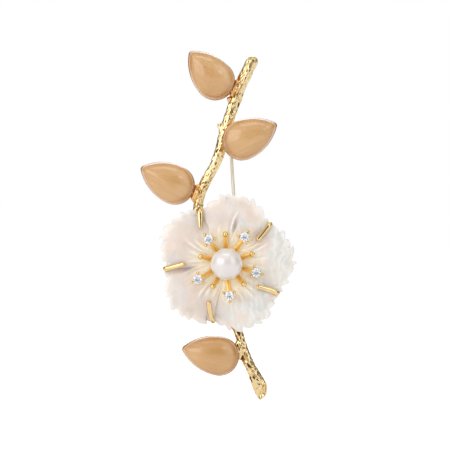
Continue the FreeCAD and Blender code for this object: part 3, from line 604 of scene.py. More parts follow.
class BROOCH_OT_twig(bpy.types.Operator):
    """Twig with its cast bark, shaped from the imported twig"""
    bl_idname = "brooch.twig"
    bl_label = "Bark the Twig"

    def petiole(self, settings, twig, cup):
        """Swelling of the casting where the twig carries a leaf's cup."""
        rim = coordinates(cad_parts[cup])
        near_rim = point_tree(rim)
        touch = min((near_rim.find(point) for point in coordinates(twig)), key=lambda near: near[2])[0]
        away = touch - Vector((rim.min(axis=0) + rim.max(axis=0)) / 2)
        away.y = 0
        away.normalize()
        return add_piece(
            bpy.ops.mesh.primitive_uv_sphere_add, segments=24, ring_count=14, radius=1,
            location=touch + away * settings.petiole_shift, rotation=(0, math.atan2(-away.z, away.x), 0),
            scale=(settings.petiole_width, settings.petiole_depth, settings.petiole_length),
        )

    def middle_line(self, points):
        """Slices square to Z: height, middle to the side and in depth, lean, and run from the foot."""
        levels = np.arange(points[:, 2].min(), points[:, 2].max(), slice_height)
        middles = []
        for low, high in zip(levels, levels[1:]):
            inside = points[(points[:, 2] >= low) & (points[:, 2] < high)]
            middles.append(((low + high) / 2, np.median(inside[:, 0]), np.median(inside[:, 1])))
        height, side, depth = np.array(middles).T
        run = np.concatenate([[0], np.cumsum(np.hypot(np.diff(height), np.diff(side)))])
        return height, side, depth, np.gradient(side, height), run

    def bark(self, settings, across, ahead, along, to_foot):
        """How far the bark stands out at each point, and how dark each point is: dark in pits and furrows,
        lighter on grains, and painted lighter at the foot as painted light.
        """
        shift = np.zeros(len(across))
        pit = np.zeros(len(across))
        for k, place in enumerate(zip(across / MM, ahead / MM, along / MM)):
            # Each stays between about -1 and 1; a furrow is 0.4 along its middle
            lump = 2 * bark_noise("lump", *place)
            furrow = 0.4 - 2 * abs(bark_noise("furrow", *place))
            grain = bark_noise("grain", *place)
            sway = 1.2 * bark_noise("sway", *place)
            # Pits stand in patches, fewer of them at the foot
            patch = max(0.0, min(1.0, 0.65 + 2.5 * bark_noise("patch", *place)))
            patch *= 1 - 0.7 * to_foot[k]
            cell = max(0.0, bark_noise("cell", *place, sway) - pit_start) * pit_slope * patch
            shift[k] = (
                settings.lumps * lump - settings.furrows * furrow
                + settings.grains * grain - settings.pits * min(1.0, cell)
            )
            # Pits are dark and furrows less so; a grain is polished; the cut foot is painted lighter, as
            # painted light that makes up for the light it lacks
            dark = 0.9 * cell + 0.35 * max(0.0, furrow) - 0.5 * grain - 0.2 * to_foot[k]
            pit[k] = min(1.0, max(0.0, dark))
        return shift, pit

    def execute(self, context):
        settings = context.scene.brooch_twig
        twig = copy_of_node("twig", "bark_twig")
        twig = join("bark_twig", [twig] + [self.petiole(settings, twig, cup) for cup in side_cups])
        apply_modifier(twig, "REMESH", mode="VOXEL", voxel_size=settings.cell)
        points = coordinates(twig)
        normals = coordinates(twig, "normal")
        z = points[:, 2]
        height, side, depth, lean, run = self.middle_line(points)
        incline = np.interp(z, height, lean)
        across = (points[:, 0] - np.interp(z, height, side)) / np.hypot(1, incline)
        ahead = points[:, 1] - np.interp(z, height, depth)
        to_foot = smooth_step(z.min() + settings.flare_length, z.min() + foot_height, z)
        shift, pit = self.bark(settings, across, ahead, np.interp(z, height, run), to_foot)
        # The foot flares square to the middle line towards its cut, and reaches a little further down it
        square = np.stack([np.ones(len(z)), np.zeros(len(z)), -incline], axis=1)
        down = np.stack([-incline, np.zeros(len(z)), -np.ones(len(z))], axis=1)
        flare = square * (settings.flare * across)[:, None] + down * settings.reach
        flare *= (to_foot / np.hypot(1, incline))[:, None]
        set_coordinates(twig, points + normals * shift[:, None] + flare)
        add_attribute(twig.data, "pit", pit)
        # The bark is painted rosy near the cups that it mirrors: a painted reflection
        cups = point_tree(np.concatenate([coordinates(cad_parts[cup]) for cup in warm_cups]))
        from_cup = np.array([cups.find(point)[2] for point in points])
        add_attribute(twig.data, "warm", 1 - smooth_step(rosy_until, rosy_end, from_cup))
        dress(twig, bark_gold())
        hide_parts("twig")
        return {"FINISHED"}


# ------ shell blossom
# Share of the longest petal's extra reach that each petal has, from the first notch on
petal_shares = (0.67, 0.22, 0.0, 0.44, 1.0)
# Points in each tooth, and the share of its width over which it rises before it drops
tooth_points = 24
tooth_rise = 0.66
# How far a tooth's point stands out from its root, in tooth depths
tooth_reach = 1.15
# Hole for the pearl's peg
hole_radius = 0.65 * MM
# Rounded edge: its width, its drop at the front and its rise at the back
edge_width, edge_drop, back_edge = 0.45 * MM, 0.28 * MM, 0.25 * MM
# The crest of a petal: how far inside its tip, and degrees from its middle
crest_inset, crest_aside = 6.8 * MM, 5
# Width of the edge that lets light through, which is painted paler as painted light
thin_width = 1.3 * MM
# Thickness of the shell at the throat's floor, and radius up to which the throat reaches
floor_height = 1.3 * MM
throat_radius = 7 * MM
# Shares of the way from hole to teeth at which the front's rings and the back's rings lie
front_rings = np.concatenate([np.linspace(0, 0.95, 62), (0.975, 0.99, 1.0)])
back_rings = (1.0, 0.8, 0.5, 0.2, 0.0)


def blossom_outline(settings):
    """Points of the toothed outline about the blossom's middle, points at the teeth's roots, and petals."""
    points = []
    roots = []
    petals = []
    notch, depth = settings.notch_radius, settings.tooth_depth
    for petal, (start, end) in enumerate(petal_spans):
        half = math.radians(end - start) / 2
        axis = math.radians(start) + half
        along = notch * math.cos(half)
        tip = settings.tip_radius + settings.stretch * petal_shares[petal]
        root = tip - depth
        reach = (root**2 - notch**2) / (2 * (root - along))
        lobe = tip - reach
        sweep = math.atan2(notch * math.sin(half), along - reach)
        # Cut by hand: no tooth is as wide, as tall or as raked as the next
        widths = [1 + 0.35 * math.sin(2.4 * tooth + 1.9 * petal) for tooth in range(settings.teeth)]
        starts = np.concatenate([[0.0], np.cumsum(widths)]) / sum(widths)
        for tooth, (begin, finish) in enumerate(zip(starts, starts[1:])):
            step = 2 * sweep * (finish - begin)
            size = 1.1 - 0.55 * math.sin(2.1 * tooth + 1.7 * petal) ** 2
            turn = 0.3 * step * math.sin(1.3 * tooth + 2.9 * petal) ** 2
            for share in np.linspace(0, 1, tooth_points, endpoint=False):
                rise = share / tooth_rise if share < tooth_rise else (1 - share) / (1 - tooth_rise)
                swell = math.sin(rise * math.pi / 2) ** 0.9
                angle = -sweep + 2 * sweep * begin + share * step
                for target, radius, angle in (
                    (roots, lobe - tooth_reach * depth, angle),
                    (points, lobe + tooth_reach * depth * (size * swell - 1), angle + turn * swell),
                ):
                    u = reach + radius * math.cos(angle)
                    v = radius * math.sin(angle)
                    target.append((
                        u * math.cos(axis) - v * math.sin(axis), u * math.sin(axis) + v * math.cos(axis),
                    ))
                petals.append(petal)
    return np.array(points), np.array(roots), np.array(petals)


def blossom_relief(settings, x, z, petal):
    """Height of the carving above the shell's back, and shares of a painted highlight on the ridges and of
    painted shade in the grooves and hollows.
    """
    radius = np.hypot(x, z)
    angle = np.degrees(np.arctan2(z, x))
    middles = np.array([(start + end) / 2 for start, end in petal_spans])
    # Each petal is a dome about its crest, which stands a little to one side of its middle
    crest_radius = settings.tip_radius - crest_inset
    lean = np.radians(middles[petal] + crest_aside)
    away = np.hypot(x - crest_radius * np.cos(lean), z - crest_radius * np.sin(lean))
    dome = settings.dome_radius
    height = settings.crest_height - dome + np.sqrt(dome**2 - away**2)
    from_axis = turned_from(angle, middles[petal])
    # Soft waves across the petal, and the slope down into the throat
    height += 0.10 * MM * np.sin(np.radians(from_axis) * 9 + petal * 2) * smooth_step(7 * MM, 14 * MM, radius)
    throat = np.interp(radius, (3.1 * MM, 6.2 * MM), (floor_height, 2.9 * MM))
    height = np.where(radius < throat_radius, np.minimum(height, throat), height)
    height = np.maximum(height, floor_height)
    # Fine lines that fan out of the throat
    around = np.radians(angle)
    fan = smooth_step(3.5 * MM, 5 * MM, radius) * (1 - smooth_step(6 * MM, 12 * MM, radius))
    for wave in range(8):
        turns = 31 + 9 * wave
        height += 0.011 * MM * fan * np.sin(turns * around + 2.3 * wave + radius / MM * (0.3 * wave - 1))
    # Each ridge is a crest that widens and fades outwards, with a groove cut beside it
    ridge = np.zeros(len(x))
    hollow = np.zeros(len(x))
    for start, low, end, high, bow, rise in ridges:
        low, high = low * MM, high * MM
        share = np.clip((radius - low) / (high - low), 0, 1)
        middle = start + (end - start) * share + bow * np.sin(math.pi * share)
        aside = np.radians(turned_from(angle, middle)) * radius
        width = (0.15 + 0.14 * share) * MM
        fade = smooth_step(low - 0.4 * MM, low + 0.8 * MM, radius) * (1 - smooth_step(0.55, 1.0, share))
        crest = np.exp(-((aside / width) ** 2)) * fade
        groove = np.exp(-(((aside - 2.4 * width) / (1.6 * width)) ** 2)) * fade
        height += rise * MM * (crest - 0.4 * groove)
        # Share of a painted highlight along the ridge's crest
        ridge = np.maximum(ridge, crest * min(1.0, rise / 0.3))
        # Share of painted shade in the groove beside it
        hollow = np.maximum(hollow, 0.2 * groove * rise / 0.3)
    for direction, reach, length, width, depth in hollows:
        a = math.radians(direction)
        along = x * math.cos(a) + z * math.sin(a) - reach * MM
        aside = z * math.cos(a) - x * math.sin(a)
        scoop = np.exp(-((along / (length * MM)) ** 2) - (aside / (width * MM)) ** 2)
        height -= depth * MM * scoop
        # Share of painted shade in the scoop
        hollow = np.maximum(hollow, 0.6 * scoop)
    return height, ridge, hollow


class BROOCH_OT_blossom(bpy.types.Operator):
    """Blossom of carved mother of pearl with toothed petals and ridges"""
    bl_idname = "brooch.blossom"
    bl_label = "Carve the Blossom"

    def execute(self, context):
        settings = context.scene.brooch_shell
        outline, roots, petals = blossom_outline(settings)
        count = len(outline)
        reach = np.hypot(*roots.T)

        def ring(share):
            """In-plane points of a ring, from the hole at 0 to the teeth at 1."""
            smooth_ring = roots / reach[:, None] * (hole_radius + (reach - hole_radius) * share)[:, None]
            return (smooth_ring + (outline - roots) * smooth_step(0.84, 1.0, share)).T

        rings = []
        marks = []
        for share in front_rings:
            x, z = ring(share)
            height, ridge, hollow = blossom_relief(settings, x, z, petals)
            from_edge = (reach - hole_radius) * (1 - share)
            height -= edge_drop * (1 - np.clip(from_edge / edge_width, 0, 1)) ** 2
            rings.append(np.stack([x, -height, z], axis=1))
            # Marks for the painted highlight on the ridges, the painted shade in the hollows and the painted
            # light through the thin edge
            marks.append((ridge, hollow, 0.8 * (1 - smooth_step(0, thin_width, from_edge))))
        for share in back_rings:
            x, z = ring(share)
            back = np.full(count, -back_edge if share == 1.0 else 0.0)
            rings.append(np.stack([x, back, z], axis=1))
            marks.append((np.zeros(count),) * 3)
        # The rings run from the hole over the front to the teeth, and back along the flat back
        points = np.concatenate(rings) + np.array(blossom)
        faces = []
        total = len(rings)
        for first in range(total):
            row, next_row = first * count, (first + 1) % total * count
            for k in range(count):
                after = (k + 1) % count
                faces.append((row + k, row + after, next_row + after, next_row + k))
        mesh = bpy.data.meshes.new("carved_blossom")
        mesh.from_pydata(points.tolist(), [], faces)
        blossom_piece = link_piece("carved_blossom", mesh)
        for name, values in zip(("ridge", "hollow", "thin"), zip(*marks)):
            add_attribute(mesh, name, np.concatenate(values))
        with editing():
            bpy.ops.mesh.normals_make_consistent(inside=False)
        dress(blossom_piece, mother_of_pearl(settings), 50)
        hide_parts("shell_flower")
        return {"FINISHED"}


# ------ cabochons
# Cabochons: node, degrees that its tip points, whether its head lies at the box's left instead of its right
cabochons = (
    ("leaf_stone_top", 131.5, False),
    ("leaf_stone_right", 25.5, True),
    ("leaf_stone_left", 153.0, False),
    ("leaf_stone_foot", 168.5, False),
)
# Point towards which the dome narrows, from the middle of the head
crown = Vector((1.6 * MM, 0, 0))
dome_steps = 14


class BROOCH_OT_cabochons(bpy.types.Operator):
    """Four drop cabochons of cat's-eye quartz"""
    bl_idname = "brooch.cabochons"
    bl_label = "Set the Cabochons"

    def half_outline(self, settings, count):
        """Outline from the tip round one flank to the head's end."""
        head = settings.width / 2
        tip = settings.tip_radius
        reach = settings.length - head - tip
        flank = (reach**2 + head**2 - tip**2) / (2 * (head - tip))
        drop = flank - head
        meet = math.atan2(drop, reach)
        arcs = (
            (reach, 0, tip, 0, meet),
            (0, -drop, flank, meet, math.pi / 2),
            (0, 0, head, math.pi / 2, math.pi),
        )
        lengths = [radius * (end - start) for _, _, radius, start, end in arcs]
        total = sum(lengths)
        points = []
        for k in range(count + 1):
            run = total * k / count
            for (u, v, radius, start, end), length in zip(arcs, lengths):
                if run <= length + 1e-12:
                    a = start + run / radius
                    points.append((u + radius * math.cos(a), v + radius * math.sin(a)))
                    break
                run -= length
        return points

    def stone(self, settings, depth):
        """One cabochon with its tip along +X and its dome towards -Y, head's centre at the origin."""
        half = self.half_outline(settings, 48)
        outline = half + [(u, -v) for u, v in reversed(half[1:-1])]
        stone = add_piece(
            bpy.ops.mesh.primitive_circle_add, vertices=len(outline), radius=settings.width / 2,
            fill_type="NGON", rotation=(math.pi / 2, 0, 0),
        )
        ring = sorted(stone.data.vertices, key=lambda p: math.atan2(p.co.z, p.co.x) % (2 * math.pi))
        for vertex, (u, v) in zip(ring, outline):
            vertex.co = (u, 0, v)
        middle = (settings.length - settings.width) / 2
        lap = (1 + 2 * settings.end_lap / settings.length, 1, 1 + 2 * settings.lap / settings.width)
        dome = depth - settings.girdle
        before = 0
        with editing():
            extrude(0, -settings.rim, 0)
            extrude(0, settings.rim - settings.girdle, 0)
            bpy.ops.transform.resize(value=lap, center_override=(middle, 0, 0))
            for step in range(1, dome_steps + 1):
                climb = math.pi / 2 * step / (dome_steps + 0.35)
                shrink = math.cos(climb) / math.cos(before)
                extrude(0, -dome * (math.sin(climb) - math.sin(before)), 0)
                bpy.ops.transform.resize(value=(shrink, 1, shrink), center_override=crown)
                before = climb
            bpy.ops.mesh.poke()
            bpy.ops.mesh.select_all(action="SELECT")
            bpy.ops.mesh.normals_make_consistent(inside=False)
        return stone

    def execute(self, context):
        settings = context.scene.brooch_stone
        low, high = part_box(cabochons[0][0])
        model = self.stone(settings, high.y - low.y)
        flat = coordinates(model)
        # How high each point is on the dome, for the painted shade and highlight at the girdle, and how near
        # the head, for the painted gold seen through it
        climb = np.clip((-flat[:, 1] - settings.girdle) / (high.y - low.y - settings.girdle), 0, 1)
        add_attribute(model.data, "rim", climb)
        to_head = smooth_step(-0.55, -1.0, flat[:, 0] / (settings.width / 2))
        add_attribute(model.data, "head", to_head * (1 - smooth_step(0.35, 0.8, climb)))
        material = cats_eye(settings)
        head = settings.width / 2
        for number, (node, tip_angle, head_left) in enumerate(cabochons):
            low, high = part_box(node)
            stone = link_piece(node.replace("leaf_stone", "cabochon"), model.data.copy())
            layer = stone.data.uv_layers.new(name="along")
            for corner in stone.data.loops:
                point = stone.data.vertices[corner.vertex_index].co
                layer.data[corner.index].uv = (
                    point.x / settings.length + 3 * number, point.z / settings.width + 5 * number
                )
            centre = Vector((low.x + head if head_left else high.x - head, high.y, low.z + head))
            place = Matrix.Translation(centre) @ Matrix.Rotation(-math.radians(tip_angle), 4, "Y")
            stone.data.transform(place)
            dress(stone, material, 60)
            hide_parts(node)
        bpy.data.objects.remove(model)
        return {"FINISHED"}


# ------ claws
# For each claw: how far its run bows aside, its bend and its tip are pushed aside, counterclockwise (mm)
claw_bows = ((0.05, -0.1, 0.2), (-0.2, 0.35, -0.25), (0.14, -0.1, 0.0), (-0.05, 0.0, 0.0), (0.0, 0.0, 0.0))
# The end of an arm of the plate: beyond this radius, within these degrees of its notch
arm_end_radius = 11 * MM
arm_half_angle = 20


class BROOCH_OT_claws(bpy.types.Operator):
    """Five wire claws, rounded and bent a little by the pliers, on the plate's five filed arms"""
    bl_idname = "brooch.claws"
    bl_label = "Round the Claws"

    def plate(self, settings):
        """The plate with the end of each arm filed narrower than its claw, and its edges broken."""
        plate = copy_of_node("flower_plate", "filed_plate")
        points = coordinates(plate)
        x, z = points[:, 0] - blossom.x, points[:, 2] - blossom.z
        radius = np.hypot(x, z)
        angle = np.degrees(np.arctan2(z, x))
        for notch in notch_angles:
            off = turned_from(angle, notch)
            end = (radius > arm_end_radius) & (np.abs(off) < arm_half_angle)
            around = np.radians(notch + off[end] * settings.filing)
            shorter = radius[end] - settings.trim
            points[end, 0] = blossom.x + shorter * np.cos(around)
            points[end, 2] = blossom.z + shorter * np.sin(around)
        set_coordinates(plate, points)
        soften(plate, 0.1 * MM, 2, 40)
        dress(plate, gold_material("satin_gold_plate", "EBCF96", "DDB878", 0.42, 0.3, 0.01), 50)
        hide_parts("flower_plate")

    def execute(self, context):
        settings = context.scene.brooch_claw
        gold = gold_material("bright_gold_wire", "F1D8A4", "E3BC7C", 0.12, 0.3, 0.005)
        self.plate(settings)
        for number, (bow, push, bend) in enumerate(claw_bows):
            node = f"claw_{number + 1}"
            claw = copy_of_node(node, f"wire_{node}")
            apply_modifier(claw, "REMESH", mode="VOXEL", voxel_size=settings.cell)
            apply_modifier(claw, "SMOOTH", factor=0.5, iterations=settings.passes)
            points = coordinates(claw)
            radius = np.hypot(points[:, 0] - blossom.x, points[:, 2] - blossom.z)
            height = blossom.y - points[:, 1]
            # Share of the way from root to tip, and the direction aside from that way
            share = np.clip((radius.max() - radius) / (radius.max() - radius.min()), 0, 1)
            line = points[share > 0.9].mean(axis=0) - points[share < 0.1].mean(axis=0)
            aside = np.array([line[2], 0, -line[0]]) / math.hypot(line[0], line[2])
            # The run bows all along, the bend is pushed where it stands up, and the tip turns away
            turned = smooth_step(0.6 * MM, 2.2 * MM, height)
            shift = bow * np.sin(math.pi * share) + push * smooth_step(0.35, 0.0, share) * turned
            shift += bend * smooth_step(0.2, 1.0, share)
            set_coordinates(claw, points + shift[:, None] * MM * aside)
            apply_modifier(claw, "DISPLACE", strength=settings.swell, mid_level=0.0)
            dress(claw, gold)
            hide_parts(node)
        return {"FINISHED"}


# ------ stamens
first_stamen_angle = 128.0
# Degrees that each stamen is bent aside by hand, and how much longer it is (mm)
stamen_bends = (-2, 0, 0, 1, 0, 3, 3, 3, 8, 0)
stamen_stretch = (-0.3, 0.5, 0.2, 0, -0.2, -0.15, 0, -0.25, 0.2, -0.2)
# Arm: radius at which it starts, climb of its back to the tip, thickness and width at the root
arm_root, arm_rise, arm_thickness, arm_width = 2.0 * MM, 1.75 * MM, 0.65 * MM, 1.15 * MM
# Hub: radius and thickness; its back lies on the throat's floor
hub_radius, hub_thickness = 2.7 * MM, 0.75 * MM
# Half the thickness of an arm's tip, and height of the tip over the spray's back
half_arm, tip_height = 0.33 * MM, arm_rise
# Brilliant: gap under its point, depth of its pavilion and half of its girdle
stone_gap, pavilion, half_girdle = 0.2 * MM, 0.86 * MM, 0.06 * MM
girdle_height = tip_height + stone_gap + pavilion + half_girdle
# Cone under a brilliant: radii of its ends, and how far its rim stays under the girdle
cone_foot, cone_rim, cone_gap = 0.5 * MM, 1.02 * MM, 0.2 * MM
# Prongs: radii from the head's axis at the foot and at the bead, the prong's own, and rise over the girdle
prong_foot, prong_end, prong_radius, prong_rise = 0.62 * MM, 1.37 * MM, 0.22 * MM, 0.22 * MM


class BROOCH_OT_stamens(bpy.types.Operator):
    """Ten cast stamens, five with a ball and five with a three-pronged head"""
    bl_idname = "brooch.stamens"
    bl_label = "Build the Stamens"

    def arm(self, reach):
        """Tapered arm along +X with its back at zero height, climbing towards -Y."""
        arm = add_piece(bpy.ops.mesh.primitive_cube_add, size=1)
        arm.data.transform(Matrix.Diagonal((reach - arm_root, arm_thickness, arm_width, 1)))
        with editing():
            bpy.ops.mesh.subdivide(number_cuts=5)
        for vertex in arm.data.vertices:
            share = max(0.0, vertex.co.x / (reach - arm_root) + 0.5)
            if vertex.co.y < 0:
                vertex.co.y -= 0.3 * (0.5 * arm_width - abs(vertex.co.z))
            vertex.co.z *= 1 - 0.26 * share
            vertex.co.y -= arm_rise * share ** 1.15
            vertex.co.x += (reach + arm_root) / 2
        soften(arm, 0.2 * MM)
        apply_modifier(arm, "SUBSURF", levels=1, render_levels=1)
        return arm

    def ball(self, radius, centre):
        """Small ball."""
        return add_piece(
            bpy.ops.mesh.primitive_uv_sphere_add, segments=24, ring_count=14, radius=radius, location=centre
        )

    def rod(self, radius, start, end):
        """Round rod with softened ends between two points."""
        line = end - start
        rod = add_piece(
            bpy.ops.mesh.primitive_cylinder_add, vertices=20, radius=radius, depth=line.length
        )
        soften(rod, 0.05 * MM, 2)
        turn = line.to_track_quat("Z", "Y").to_matrix().to_4x4()
        rod.data.transform(Matrix.Translation((start + end) / 2) @ turn)
        return rod

    def head(self, settings, reach):
        """Cone with three ball-ended prongs, on the end of an arm along +X."""
        low, high = tip_height - half_arm, girdle_height - cone_gap
        cup = add_piece(
            bpy.ops.mesh.primitive_cone_add, vertices=40, radius1=cone_foot, radius2=cone_rim,
            depth=high - low, end_fill_type="NGON",
        )
        cup.data.transform(Matrix.Rotation(math.pi / 2, 4, "X"))
        cup.data.transform(Matrix.Translation((reach, -(low + high) / 2, 0)))
        bpy.ops.object.mode_set(mode="EDIT")
        bpy.ops.mesh.select_all(action="DESELECT")
        bpy.ops.object.mode_set(mode="OBJECT")
        for face in cup.data.polygons:
            face.select = face.normal.y < -0.9
        bpy.ops.object.mode_set(mode="EDIT")
        bpy.ops.mesh.inset(thickness=0.12 * MM)
        extrude(0, 0.5 * MM, 0)
        bpy.ops.transform.resize(value=(0.35, 1, 0.35))
        bpy.ops.object.mode_set(mode="OBJECT")
        pieces = [cup]
        for prong in range(3):
            a = math.radians(120 * prong)
            out = Vector((math.cos(a), 0, math.sin(a)))
            start = Vector((reach, -(low + 0.3 * (high - low)), 0)) + out * prong_foot
            end = Vector((reach, -(girdle_height + prong_rise), 0)) + out * prong_end
            pieces.append(self.rod(prong_radius, start, end))
            pieces.append(self.ball(settings.bead_radius, end))
        return pieces

    def execute(self, context):
        settings = context.scene.brooch_stamen
        hub_front = floor_height + hub_thickness
        back = hub_front - arm_thickness
        hub = add_piece(
            bpy.ops.mesh.primitive_cylinder_add, vertices=72, radius=hub_radius, depth=hub_thickness,
            rotation=(math.pi / 2, 0, 0), location=blossom - Vector((0, (floor_height + hub_front) / 2, 0)),
        )
        soften(hub, 0.12 * MM)
        whole = [hub]
        for number in range(10):
            angle = first_stamen_angle - 36 * number + stamen_bends[number]
            holds_stone = number % 2 == 0
            base = settings.stone_reach if holds_stone else settings.ball_reach
            reach = base + stamen_stretch[number] * MM
            stamen = [self.arm(reach)]
            if holds_stone:
                stamen += self.head(settings, reach)
            else:
                stamen.append(self.ball(settings.ball_radius, Vector((reach, -tip_height - half_arm, 0))))
            place = Matrix.Translation(blossom - Vector((0, back, 0)))
            place = place @ Matrix.Rotation(-math.radians(angle), 4, "Y")
            for piece in stamen:
                piece.data.transform(place)
            whole += stamen
        arm_gold = gold_material("stamen_gold", "FCCF78", "F2BA58", 0.34, 0.35, 0.01)
        ball_gold = gold_material("ball_gold", "EED596", "DDB566", 0.12, 0.3, 0.005)
        for piece in whole:
            piece.data.materials.append(ball_gold if piece.name.startswith("Sphere") else arm_gold)
        spray = join("cast_stamens", whole)
        smooth(spray, 40)
        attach(spray, "brooch")
        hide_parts("stamen_spray")
        return {"FINISHED"}


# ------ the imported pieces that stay
class BROOCH_OT_finishes(bpy.types.Operator):
    """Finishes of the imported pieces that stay: metal, pearl and brilliants"""
    bl_idname = "brooch.finishes"
    bl_label = "Finish the Packed Pieces"

    def execute(self, context):
        polished = gold_material("polished_gold_plate", "EFD9A6", "E9CF98", 0.13, 0.3, 0.006)
        pin_metal = gold_material("pale_gold_pin", "F6EEDC", "EEE2C8", 0.36, 0.25, 0.006)
        # Painted reflection: the cups' deeper orange stands in for the cabochons mirrored in their gold
        cup_gold_with_painted_reflection = gold_material("satin_gold_cup_painted_reflection", "DEB070", "CE9852", 0.34, 0.3, 0.01)
        # Beginnings of the names of each finish's nodes; the pearl's peg comes after the pearl
        finishes = (
            (nacre(), ("pearl",)),
            (cup_gold_with_painted_reflection, ("leaf_cup",)),
            (polished, ("pearl_peg", "pin_joint", "catch_body")),
            (pin_metal, ("joint_rivet", "pin_stem", "catch_lock")),
            (brilliant_material(), ("brilliant",)),
        )
        for material, beginnings in finishes:
            for name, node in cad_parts.items():
                if name.startswith(beginnings):
                    if not node.material_slots:
                        node.data.materials.append(material)
                    for slot in node.material_slots:
                        slot.material = material
        return {"FINISHED"}


# ------ stage
# Middle of the brooch as the camera sees it
stage_middle = Vector((-1.88 * MM, -6 * MM, -7.73 * MM))
# How far off the lamps and the dark cards stand, and height of the cards (m)
stage_radius = 0.75
card_height = 0.9
# Lamps: degrees round from the front, degrees up, width and height (m), power
lamps = {
    "left_soft_box": (-48, 15, (0.7, 0.7), 2.4),
    "right_strip": (55, 25, (0.3, 0.7), 0.6),
    "small_soft_box": (34, 24, (0.15, 0.15), 0.18),
    "top_strip": (0, 72, (0.5, 0.2), 0.5),
    "back_soft_box": (180, 35, (0.5, 0.5), 1.2),
}
# Cards: degrees round from the front, width (m), tone
cards = (
    (12, 0.5, "3C3730"),
    (95, 0.5, "6E6456"),
    (150, 0.3, "2A231C"),
    (-150, 0.3, "1C1712"),
    (-105, 0.3, "3A3026"),
)


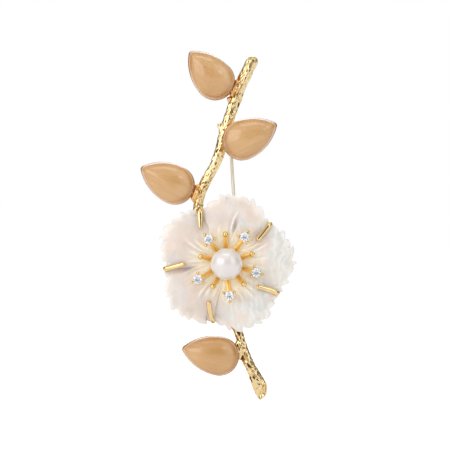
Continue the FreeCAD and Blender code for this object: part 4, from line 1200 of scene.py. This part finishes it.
class BROOCH_OT_stage(bpy.types.Operator):
    """Pale floor, soft studio light and the camera"""
    bl_idname = "brooch.stage"
    bl_label = "Set the Stage"

    def lamp(self, name, turn, rise, size, power):
        """Soft box, width by height, that faces the brooch from degrees round from the front and up."""
        deselect()
        a, b = math.radians(turn), math.radians(rise)
        outwards = Vector((math.sin(a) * math.cos(b), -math.cos(a) * math.cos(b), math.sin(b)))
        place = stage_middle + stage_radius * outwards
        bpy.ops.object.light_add(type="AREA", location=place)
        lamp = bpy.context.object
        lamp.name = name
        lamp.data.shape = "RECTANGLE"
        lamp.data.size, lamp.data.size_y = size
        lamp.data.energy = power
        lamp.rotation_euler = (stage_middle - place).to_track_quat("-Z", "Y").to_euler()

    def card(self, number, turn, width, tone):
        """Dark card beyond the lamps that gloss sees, and glass too but for the card in front."""
        turn = math.radians(turn)
        deselect()
        bpy.ops.mesh.primitive_plane_add(
            size=1, location=(stage_radius * math.sin(turn), -stage_radius * math.cos(turn), 0),
            rotation=(math.pi / 2, 0, turn),
        )
        card = bpy.context.object
        card.name = f"dark_card_{number}"
        card.scale = (width, card_height, 1)
        apply_place(card)
        felt, _, _ = matt_material("black_card", 1.0, 0.0, 5 * MM, (0.3, tone), (1.0, "2E2820"))
        card.data.materials.append(felt)
        card.visible_camera = False
        card.visible_diffuse = False
        card.visible_shadow = False
        card.visible_transmission = number > 1

    def floor(self):
        """White paper under the brooch that glows to the eye and to glass, and less to gloss."""
        floor = add_piece(
            bpy.ops.mesh.primitive_plane_add, size=6.0, location=(0, 0, cad_low.z - 0.8 * MM)
        )
        floor.name = "floor"
        paper, tree, shader = matt_material("white_paper", 0.9, 0.1, 8 * MM, (0.3, "F6F6F6"), (0.7, "F9F9F9"))
        ray = add_node(tree, "ShaderNodeLightPath").outputs
        seen = calculate(tree, "MAXIMUM", ray["Is Camera Ray"], ray["Is Transmission Ray"])
        seen = calculate(tree, "MULTIPLY_ADD", ray["Is Glossy Ray"], 0.25, seen)
        feed(tree, shader, {"Emission Strength": calculate(tree, "MULTIPLY", seen, 0.6)})
        shader.inputs["Emission Color"].default_value = (1, 1, 1, 1)
        floor.data.materials.append(paper)

    def studio(self, scene):
        """White world: full to the eye and to glass, dimmer to gloss, dimmest where it lights the piece."""
        scene.world = bpy.data.worlds.new("studio")
        scene.world.use_nodes = True
        tree = scene.world.node_tree
        tree.nodes.clear()
        ray = add_node(tree, "ShaderNodeLightPath").outputs
        seen = calculate(tree, "MAXIMUM", ray["Is Camera Ray"], ray["Is Glossy Ray"])
        seen = calculate(tree, "MAXIMUM", seen, ray["Is Transmission Ray"])
        seen = calculate(tree, "MULTIPLY_ADD", ray["Is Glossy Ray"], -0.75, seen)
        light = add_node(
            tree, "ShaderNodeBackground", {"Color": (1, 1, 1, 1), "Strength": remap(tree, seen, 0.62, 1.0)}
        )
        add_node(tree, "ShaderNodeOutputWorld", {"Surface": light.outputs[0]})

    def camera(self, settings, scene):
        """Camera straight in front, far enough off that it hardly foreshortens."""
        bpy.ops.object.camera_add(
            location=stage_middle - Vector((0, settings.distance, 0)), rotation=(math.pi / 2, 0, 0)
        )
        camera = bpy.context.object
        camera.data.sensor_width = 36
        camera.data.lens = 36 * settings.distance / settings.view_width
        camera.data.clip_start = 0.01
        camera.data.clip_end = 50
        scene.camera = camera

    def execute(self, context):
        scene = context.scene
        scene.view_settings.view_transform = "Standard"
        self.floor()
        self.studio(scene)
        for name, values in lamps.items():
            self.lamp(name, *values)
        for number, values in enumerate(cards, 1):
            self.card(number, *values)
        deselect()
        self.camera(scene.brooch_stage, scene)
        return {"FINISHED"}


class BROOCH_PT_sidebar(bpy.types.Panel):
    """Lists the brooch's pieces and their settings"""
    bl_label = "Spray Brooch"
    bl_idname = "BROOCH_PT_sidebar"
    bl_space_type = "VIEW_3D"
    bl_region_type = "UI"
    bl_category = "Brooch"

    def draw(self, context):
        scene = context.scene
        for operator, group, _ in steps:
            self.layout.operator(operator.bl_idname)
            if group:
                for name in getattr(scene, group).bl_rna.properties.keys():
                    if name not in ("rna_type", "name"):
                        self.layout.prop(getattr(scene, group), name)


# Operators in order, each with the name and kind of its settings
steps = (
    (BROOCH_OT_twig, "brooch_twig", TwigSettings),
    (BROOCH_OT_blossom, "brooch_shell", ShellSettings),
    (BROOCH_OT_cabochons, "brooch_stone", StoneSettings),
    (BROOCH_OT_claws, "brooch_claw", ClawSettings),
    (BROOCH_OT_stamens, "brooch_stamen", StamenSettings),
    (BROOCH_OT_finishes, None, None),
    (BROOCH_OT_stage, "brooch_stage", StageSettings),
)


def register():
    for operator, group, kind in steps:
        if group:
            bpy.utils.register_class(kind)
            setattr(bpy.types.Scene, group, bpy.props.PointerProperty(type=kind))
        bpy.utils.register_class(operator)
    bpy.utils.register_class(BROOCH_PT_sidebar)


def unregister():
    bpy.utils.unregister_class(BROOCH_PT_sidebar)
    for operator, group, kind in reversed(steps):
        bpy.utils.unregister_class(operator)
        if group:
            delattr(bpy.types.Scene, group)
            bpy.utils.unregister_class(kind)


def main():
    """Builds every piece in turn."""
    register()
    bpy.ops.brooch.twig()
    bpy.ops.brooch.blossom()
    bpy.ops.brooch.cabochons()
    bpy.ops.brooch.claws()
    bpy.ops.brooch.stamens()
    bpy.ops.brooch.finishes()
    bpy.ops.brooch.stage()


if __name__ == "__main__":
    main()
